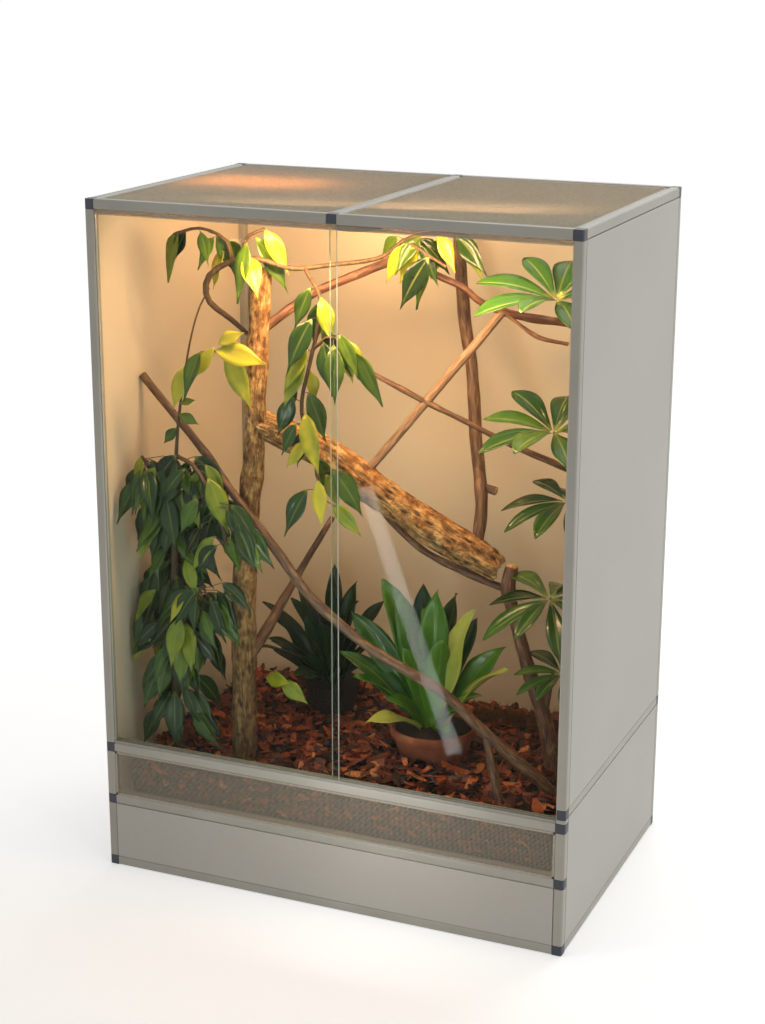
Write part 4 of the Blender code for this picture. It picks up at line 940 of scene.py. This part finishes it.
climbingFig = {  # its routes and its single leaves are in millimetres
    "stem": [
        (-405, -200, 212, 7), (-400, -200, 450, 6.5), (-385, -215, 700, 6), (-365, -228, 920, 3.2),
        (-345, -215, 1080, 2), (-325, -205, 1170, 1.6), (-302, -196, 1220, 1.6),
    ],
    "vine": [
        (-238.5, -160, 1128, 4.5), (-274, -160, 1154, 5.2), (-308, -190, 1195, 6), (-301, -200, 1243, 6),
        (-255, -190, 1275, 5.5), (-186, -210, 1287, 5), (-131, -180, 1268, 4.5), (-67, -130, 1272, 4.2),
        (13, -85, 1284, 4), (55, -55, 1318, 3.6), (115, -52, 1334, 3.4), (185, -52, 1330, 3),
    ],
    "branches": {  # how many leaves hang from each, and its route
        "topLeft": (7, [
            (-255, -190, 1275, 4), (-262, -200, 1318, 3.5), (-315, -204, 1338, 3), (-375, -200, 1322, 2.8),
        ]),
        "topRight": (4, [(-225, -199, 1282, 4), (-215, -205, 1325, 3.2), (-175, -205, 1345, 2.8)]),
        "middle": (22, [
            (-110, -165, 1268, 4), (-60, -195, 1205, 3.8), (-75, -215, 1100, 3.6), (-92, -222, 1000, 3.4),
            (-62, -225, 900, 3), (-50, -222, 820, 2.8),
        ]),
        "middleRight": (9, [(-72, -212, 1120, 3.4), (-30, -215, 1150, 3), (5, -215, 1120, 2.6)]),
        "topMiddle": (5, [(55, -55, 1318, 3.4), (100, -75, 1300, 3), (150, -80, 1275, 2.6)]),
        "beforeTrunk": (3, [(-349, -218, 1060, 3.6), (-300, -230, 1098, 3.2), (-262, -238, 1106, 2.8)]),
        "leftShoulder": (36, [(-387, -213, 690, 4.5), (-420, -222, 820, 3.8), (-452, -222, 870, 3)]),
        "rightShoulder": (38, [
            (-368, -226, 880, 4.5), (-310, -255, 868, 3.8), (-262, -266, 800, 3.4), (-235, -268, 720, 2.8),
        ]),
        "lowRight": (36, [(-401, -200, 430, 4.5), (-345, -232, 580, 3.8), (-300, -246, 620, 3)]),
        "lowLeft": (38, [(-400, -200, 460, 4.5), (-446, -175, 600, 3.8), (-458, -160, 680, 3)]),
        "lowBack": (26, [(-402, -200, 380, 4.5), (-345, -160, 500, 3.8), (-305, -140, 580, 3)]),
    },
    "stemLeaves": (66, 0.04, 0.43),  # how many, from where on the stem, and over how much of it
    "vineLeaves": (8, 0.78, 0.21),
    "branchLeaves": (0.10, 0.90),
    # leaf tones by route: the low stem and the shaded branches darker, the vine and the lit branches paler,
    # which is painted light and shade
    "tones": {"stem": 0.22, "vine": 0.5, "shaded": 0.22, "lit": 0.45, "spread": 0.27},
    "leaf": (0.08, 0.036),
    "growth": (0.70, 1.20),
    "droop": 0.30,
    "stalk": 0.022,
    "bushy": (0.9, 1.6),  # below this height the stalks are so much longer
    "tries": 12,
    "placed": [  # single leaves as base, tip, width and tone: before the trunk, by its foot, on the bare stem
        ((-268, -240, 1108), (-150, -252, 1096), 46, 0.95),
        ((-272, -238, 1112), (-316, -246, 1050), 30, 0.85),
        ((-262, -238, 1120), (-205, -240, 1150), 30, 0.95),
        ((-240, -225, 1120), (-222, -232, 1030), 30, 0.6),
        ((-185, -140, 395), (-118, -150, 360), 34, 0.62),
        ((-222, -135, 395), (-158, -150, 398), 32, 0.72),
        ((-364, -232, 940), (-390, -238, 908), 22, 0.35),
        ((-358, -230, 968), (-312, -234, 954), 22, 0.5),
        ((-356, -228, 990), (-320, -230, 1002), 15, 0.6),
    ],
    "reach": (-0.488, 0.488, -0.299, 1.372),  # least and most x, least y, most z
}


def figLeafAt(bm, layer, base, chance, light):
    grown = chance.uniform(*climbingFig["growth"])
    length, width = (side * grown * chance.uniform(0.92, 1.08) for side in climbingFig["leaf"])
    lowX, highX, lowY, highZ = climbingFig["reach"]
    bushyBelow, bushy = climbingFig["bushy"]
    for _ in range(climbingFig["tries"]):
        turn = chance.uniform(0, math.tau)
        ahead = Vector((math.cos(turn), 0.5 * math.sin(turn), -chance.uniform(0.5, 1.7))).normalized()
        stalk = climbingFig["stalk"] * chance.uniform(0.3, 1.3)
        away = Vector((math.cos(turn), 0.6 * math.sin(turn), chance.uniform(-0.6, 0.5)))
        start = base + away * stalk * (bushy if base.z < bushyBelow else 1.0)
        tip = start + ahead * length - Vector((0, 0, climbingFig["droop"] * length))
        fits = lowX < tip.x < highX and tip.y - width / 2 > lowY and start.y - width / 2 > lowY
        if fits and start.z < highZ and tip.z > chipBed["top"] and lowX < start.x:
            break
    else:
        return
    up = Vector((chance.uniform(-0.3, 0.8), -1, chance.uniform(-0.1, 0.9))).normalized()
    tone = bounded(chance.gauss(light, climbingFig["tones"]["spread"]))
    plantStem(bm, layer, [(*base, 0.0008), (*base.lerp(start, 0.5), 0.0007), (*start, 0.0007)], 4)
    blade(bm, layer, "fig", start, ahead, up, length, width, climbingFig["droop"], chance.uniform(0.1, 0.5),
          0.06, tone)


def growFig():
    chance = random.Random(4)
    bm = bmesh.new()
    layer = bm.verts.layers.float_vector.new("blade")
    tones = climbingFig["tones"]
    hung = []  # a route and its sides; its leaves, from where and over how much of it they hang, and their tone
    for name in ("stem", "vine"):
        hung.append((metresAlong(climbingFig[name]), 8, *climbingFig[name + "Leaves"], tones[name]))
    for name, (count, route) in climbingFig["branches"].items():
        # the top, middle and front branches get the paler lit tone and the rest the darker shaded one: painted
        # light and shade
        tone = tones["lit" if name.startswith(("top", "middle", "before")) else "shaded"]
        hung.append((metresAlong(route), 6, count, *climbingFig["branchLeaves"], tone))
    for route, sides, *_ in hung:
        plantStem(bm, layer, route, sides)
    for route, _, count, start, reach, tone in hung:
        for number in range(count):
            figLeafAt(bm, layer, onRoute(route, start + reach * (number + 0.5) / count), chance, tone)
    for base, tip, width, tone in climbingFig["placed"]:
        base = Vector(metres(base))
        along = Vector(metres(tip)) - base
        blade(bm, layer, "fig", base, along.normalized(), Vector((0.3, -1, 0.5)).normalized(), along.length,
              width / 1000, 0.04, 0.3, 0.05, tone, (10, 4))
    leaf = leafFinish("waxyFigLeaf", [
        (0.1, "12240A"), (0.4, "2C4C14"), (0.65, "5A7A1E"), (0.85, "98A428"), (1.0, "D0C83C")],
        "A9B45E", 0.22, 9, 0.20, 0.35, 0.08)
    bark = grainedStem("brownVineStem", [(0.3, "3A2A1C"), (0.7, "6E5638")], 0.6)
    leafPiece("climbingFig", bm, [leaf, bark], "climbing_fig")


growFig()
print("fig grown")


umbrellaPlant = {
    "stem": [(452, -20, 212, 7), (455, -30, 600, 6.5), (452, -30, 950, 6), (445, -35, 1190, 5)],
    "rosettes": [  # x, y, z, leaflet length, lean of the rosette to the front, rise of its leaflets
        (0.368, -0.062, 1.222, 0.160, 0.35, 0.50), (0.370, -0.065, 0.965, 0.155, 0.35, 0.45),
        (0.400, -0.065, 0.832, 0.118, 0.30, 0.05), (0.372, -0.065, 0.628, 0.130, 0.35, 0.0),
        (0.400, -0.055, 0.470, 0.102, 0.30, 0.10),
    ],
    "leaflets": 9,
    "slimness": 0.34,
    "reach": 0.489,
}


def growUmbrella():
    chance = random.Random(7)
    bm = bmesh.new()
    layer = bm.verts.layers.float_vector.new("blade")
    stem = metresAlong(umbrellaPlant["stem"])
    plantStem(bm, layer, stem)
    stemX, stemY = stem[1][:2]
    across = Vector((1, 0, 0))
    for x, y, z, length, lean, steep in umbrellaPlant["rosettes"]:
        axis = Vector((0, -lean, 1)).normalized()
        plantStem(bm, layer, [
            (stemX, stemY, z - 0.045, 0.0030), ((x + stemX) / 2, y, z - 0.022, 0.0026),
            (x, y, z + 0.002, 0.0030)], 6)
        count = umbrellaPlant["leaflets"]
        for number in range(count):
            turn = math.tau * (number + 0.5 + chance.uniform(-0.15, 0.15)) / count
            rise = steep + 0.18 * math.sin(2.4 * number)
            flat = across * math.cos(turn) + axis.cross(across) * math.sin(turn)
            ahead = (flat + axis * rise).normalized()
            long = length * chance.uniform(0.85, 1.05)
            room = (umbrellaPlant["reach"] - x) / max(ahead.x, 1e-6)
            if 0 < room < 0.5 * long:
                continue
            if 0 < room < long:
                long = room
            tone = bounded(chance.gauss(0.42, 0.15))
            blade(bm, layer, "umbrella", Vector((x, y, z)) + ahead * 0.008, ahead, axis, long,
                  umbrellaPlant["slimness"] * long, 0.26, 0.35, 0.02, tone, (9, 4))
    leaf = leafFinish("glossyUmbrellaLeaf", [
        (0.1, "10260E"), (0.4, "1F4216"), (0.7, "3C6A22"), (1.0, "7A9A38")],
        "B8C468", 0.20, 7, 0.14, 0.4, 0.06)
    stalk = grainedStem("greenUmbrellaStalk", [(0.3, "55602C"), (0.7, "8A9048")], 0.45)
    leafPiece("umbrellaPlant", bm, [leaf, stalk], "umbrella_plant")


growUmbrella()

broadPlant = {
    "place": (0.118, -0.04, 0.225),
    "potHigh": 0.085,
    # a leaf's tone is partly its own green, and partly painted light: the palest are leaves that catch the
    # lamp, and the darkest lie in shade
    "leaves": [  # tip x, y, z and width in millimetres, and tone, dark to pale
        (12, -60, 620, 66, 0.4), (58, -80, 600, 62, 0.3), (128, -50, 608, 62, 0.45),
        (-60, -60, 540, 58, 0.35), (-70, -95, 462, 52, 0.3), (215, -70, 585, 68, 0.85),
        (300, -95, 478, 52, 0.8), (235, 30, 470, 52, 0.35), (30, 50, 530, 58, 0.2),
        (120, 80, 560, 58, 0.25), (20, -165, 345, 46, 0.75), (225, -140, 395, 46, 0.45),
        (85, -120, 500, 58, 0.5), (-10, 10, 455, 52, 0.2), (95, -40, 560, 56, 0.35),
        (160, -100, 520, 58, 0.55), (270, -30, 500, 50, 0.4), (-30, -110, 420, 46, 0.4),
        (175, 60, 520, 52, 0.25), (60, -150, 400, 46, 0.45), (190, -150, 340, 40, 0.5),
        (250, -110, 420, 44, 0.6), (65, 30, 590, 56, 0.25),
    ],
    "echoed": False,
    "lift": 0.10,
}
rearPlant = {
    "place": (-0.19, 0.13, 0.228),
    "potHigh": 0.07,
    "leaves": [
        (-345, 100, 470, 38, 0.3), (-300, 180, 500, 38, 0.2), (-340, 60, 380, 36, 0.4),
        (-260, 70, 500, 36, 0.5), (-220, 210, 540, 38, 0.2), (-140, 150, 530, 38, 0.4),
        (-90, 190, 480, 38, 0.2), (-60, 110, 440, 36, 0.4), (-110, 50, 400, 34, 0.6),
        (-170, 30, 470, 36, 0.5), (-230, 10, 350, 36, 0.6), (-290, 20, 420, 36, 0.5),
        (-180, 120, 560, 36, 0.3), (-350, 150, 360, 36, 0.2), (-250, 160, 470, 36, 0.3),
        (-120, 110, 500, 36, 0.4), (-320, 110, 430, 34, 0.4), (-80, 60, 370, 32, 0.5),
    ],
    "echoed": True,  # a shorter leaf beside each
    "lift": 0.12,
}


def turnedPot(bm, profile, place, material=None):
    # A profile of (radius, height) points, spun round the vertical
    part = bmesh.new()
    points = [part.verts.new((radius, 0, height)) for radius, height in profile]
    edges = [part.edges.new(pair) for pair in zip(points, points[1:])]
    bmesh.ops.spin(part, geom=points + edges, cent=(0, 0, 0), axis=(0, 0, 1), angle=math.tau, steps=64,
                   use_merge=True)
    bmesh.ops.remove_doubles(part, verts=part.verts, dist=1e-5)
    bmesh.ops.recalc_face_normals(part, faces=part.faces)
    bmesh.ops.translate(part, vec=place, verts=part.verts)
    joinInto(bm, part, material)


def growBushy(name, plant, node, leaf, seed, soilProfile):
    chance = random.Random(seed)
    bm = bmesh.new()
    layer = bm.verts.layers.float_vector.new("blade")
    place = Vector(plant["place"])
    turnedPot(bm, soilProfile, place, 1)
    base = place + Vector((0, 0, plant["potHigh"] - 0.012))
    leaves = [(*metres(tip), tone) for *tip, tone in plant["leaves"]]
    for x, y, z, width, tone in list(leaves) if plant["echoed"] else []:
        near = Vector((x, y, z)).lerp(base, chance.uniform(0.1, 0.35))
        leaves.append((near.x + chance.gauss(0, 0.022), near.y + chance.gauss(0, 0.02), near.z, width, tone))
    for x, y, z, width, tone in leaves:
        tip = Vector((x, y, z))
        start = base + (tip - base).to_2d().to_3d() * 0.12
        along = tip - start
        rise = plant["lift"] * 4 * along.length
        ahead = (along + Vector((0, 0, rise))).normalized()
        long = (along + Vector((0, 0, rise))).length
        tone = bounded(chance.gauss(tone, 0.06))
        up = Vector((chance.uniform(-0.3, 0.3), chance.uniform(-0.6, 0.1), 1)).normalized()
        blade(bm, layer, "strap", start, ahead, up, long, width, rise / long, 0.40, 0.11, tone, (14, 6))
    leafPiece(name, bm, [leaf, soil], node, 0.0009)


# damp potting soil: dark crumbs with paler fibres
soil = mottled("pottingSoil", [(0.35, "140D09"), (0.6, "33241A"), (0.78, "6A503A")],
               {"Scale": 180.0, "Detail": 7.0, "Roughness": 0.7}, 0.95, ior=1.4, bump=(0.9, 0.003))
# unglazed earthenware: dusty orange-brown with pale lime bloom
terracotta = mottled("unglazedTerracotta", [(0.3, "7A3D26"), (0.55, "9A5234"), (0.8, "B98360")],
                     {"Scale": 22.0, "Detail": 6.0, "Roughness": 0.65}, 0.85, ior=1.45,
                     relief={"Scale": 600.0, "Detail": 2.0}, bump=(0.3, 0.0005))
broadLeaf = leafFinish("broadStrapLeaf", [
    (0.1, "142C0E"), (0.4, "284F17"), (0.7, "588A26"), (1.0, "C0C45C")],
    "9AB050", 0.20, 16, 0.18, 0.30, 0.08)
rearLeaf = leafFinish("shadedStrapLeaf", [
    (0.1, "0C1A0A"), (0.5, "182E12"), (1.0, "35501F")], "4E6636", 0.4, 14, 0.10, 0.35, 0.08)
growBushy("broadLeavedPlant", broadPlant, "broad_leaved_plant", broadLeaf, 21, [
    (0, 0.0064), (0.058, 0.0064), (0.0795, 0.0752), (0.05, 0.081), (0, 0.0835)])
growBushy("rearPlant", rearPlant, "rear_plant", rearLeaf, 22, [
    (0, 0), (0.046, 0), (0.062, 0.070), (0.057, 0.070), (0, 0.073)])
potMesh = bmesh.new()
turnedPot(potMesh, [
    (0, 0), (0.062, 0), (0.064, 0.002), (0.0835, 0.064), (0.0885, 0.0655), (0.090, 0.068), (0.090, 0.0825),
    (0.0885, 0.085), (0.0845, 0.085), (0.0805, 0.0765), (0.058, 0.006), (0, 0.006)],
    Vector(broadPlant["place"]))
finishedPiece("plantPot", potMesh, [terracotta], "root", "plant_pot")
print("plants grown")


# Heat lamp


def dressLamp():
    enamel = hardSkin("blackLampEnamel", [(0.3, "2C2C2E"), (0.7, "3C3C3F")], 0.3)
    # brushed steel: fine lines across the arm, a soft bright sheen
    steel = mottled("brushedLampSteel", [(0.3, "8A8A8A"), (0.7, "ABABAB")], {"Scale": 1.0, "Detail": 2.0},
                    0.35, metallic=1.0, stretch=(8, 900, 900))
    # frosted glass, lit from within: warm and without a hot spot
    bulb, tree, shader = newFinish("frostedBulbGlass", 0.3)
    feed(shader, {
        "Base Color": linear("FFE2B4"), "Emission Color": linear("FFC27A"), "Emission Strength": 3.0})
    softened("lamp_arm", "connector", [steel], "root")
    softened("lamp_shade", "track", [enamel], "lamp")
    softened("lamp_bulb", "track", [bulb], "lamp")


dressLamp()
print("lamp dressed")
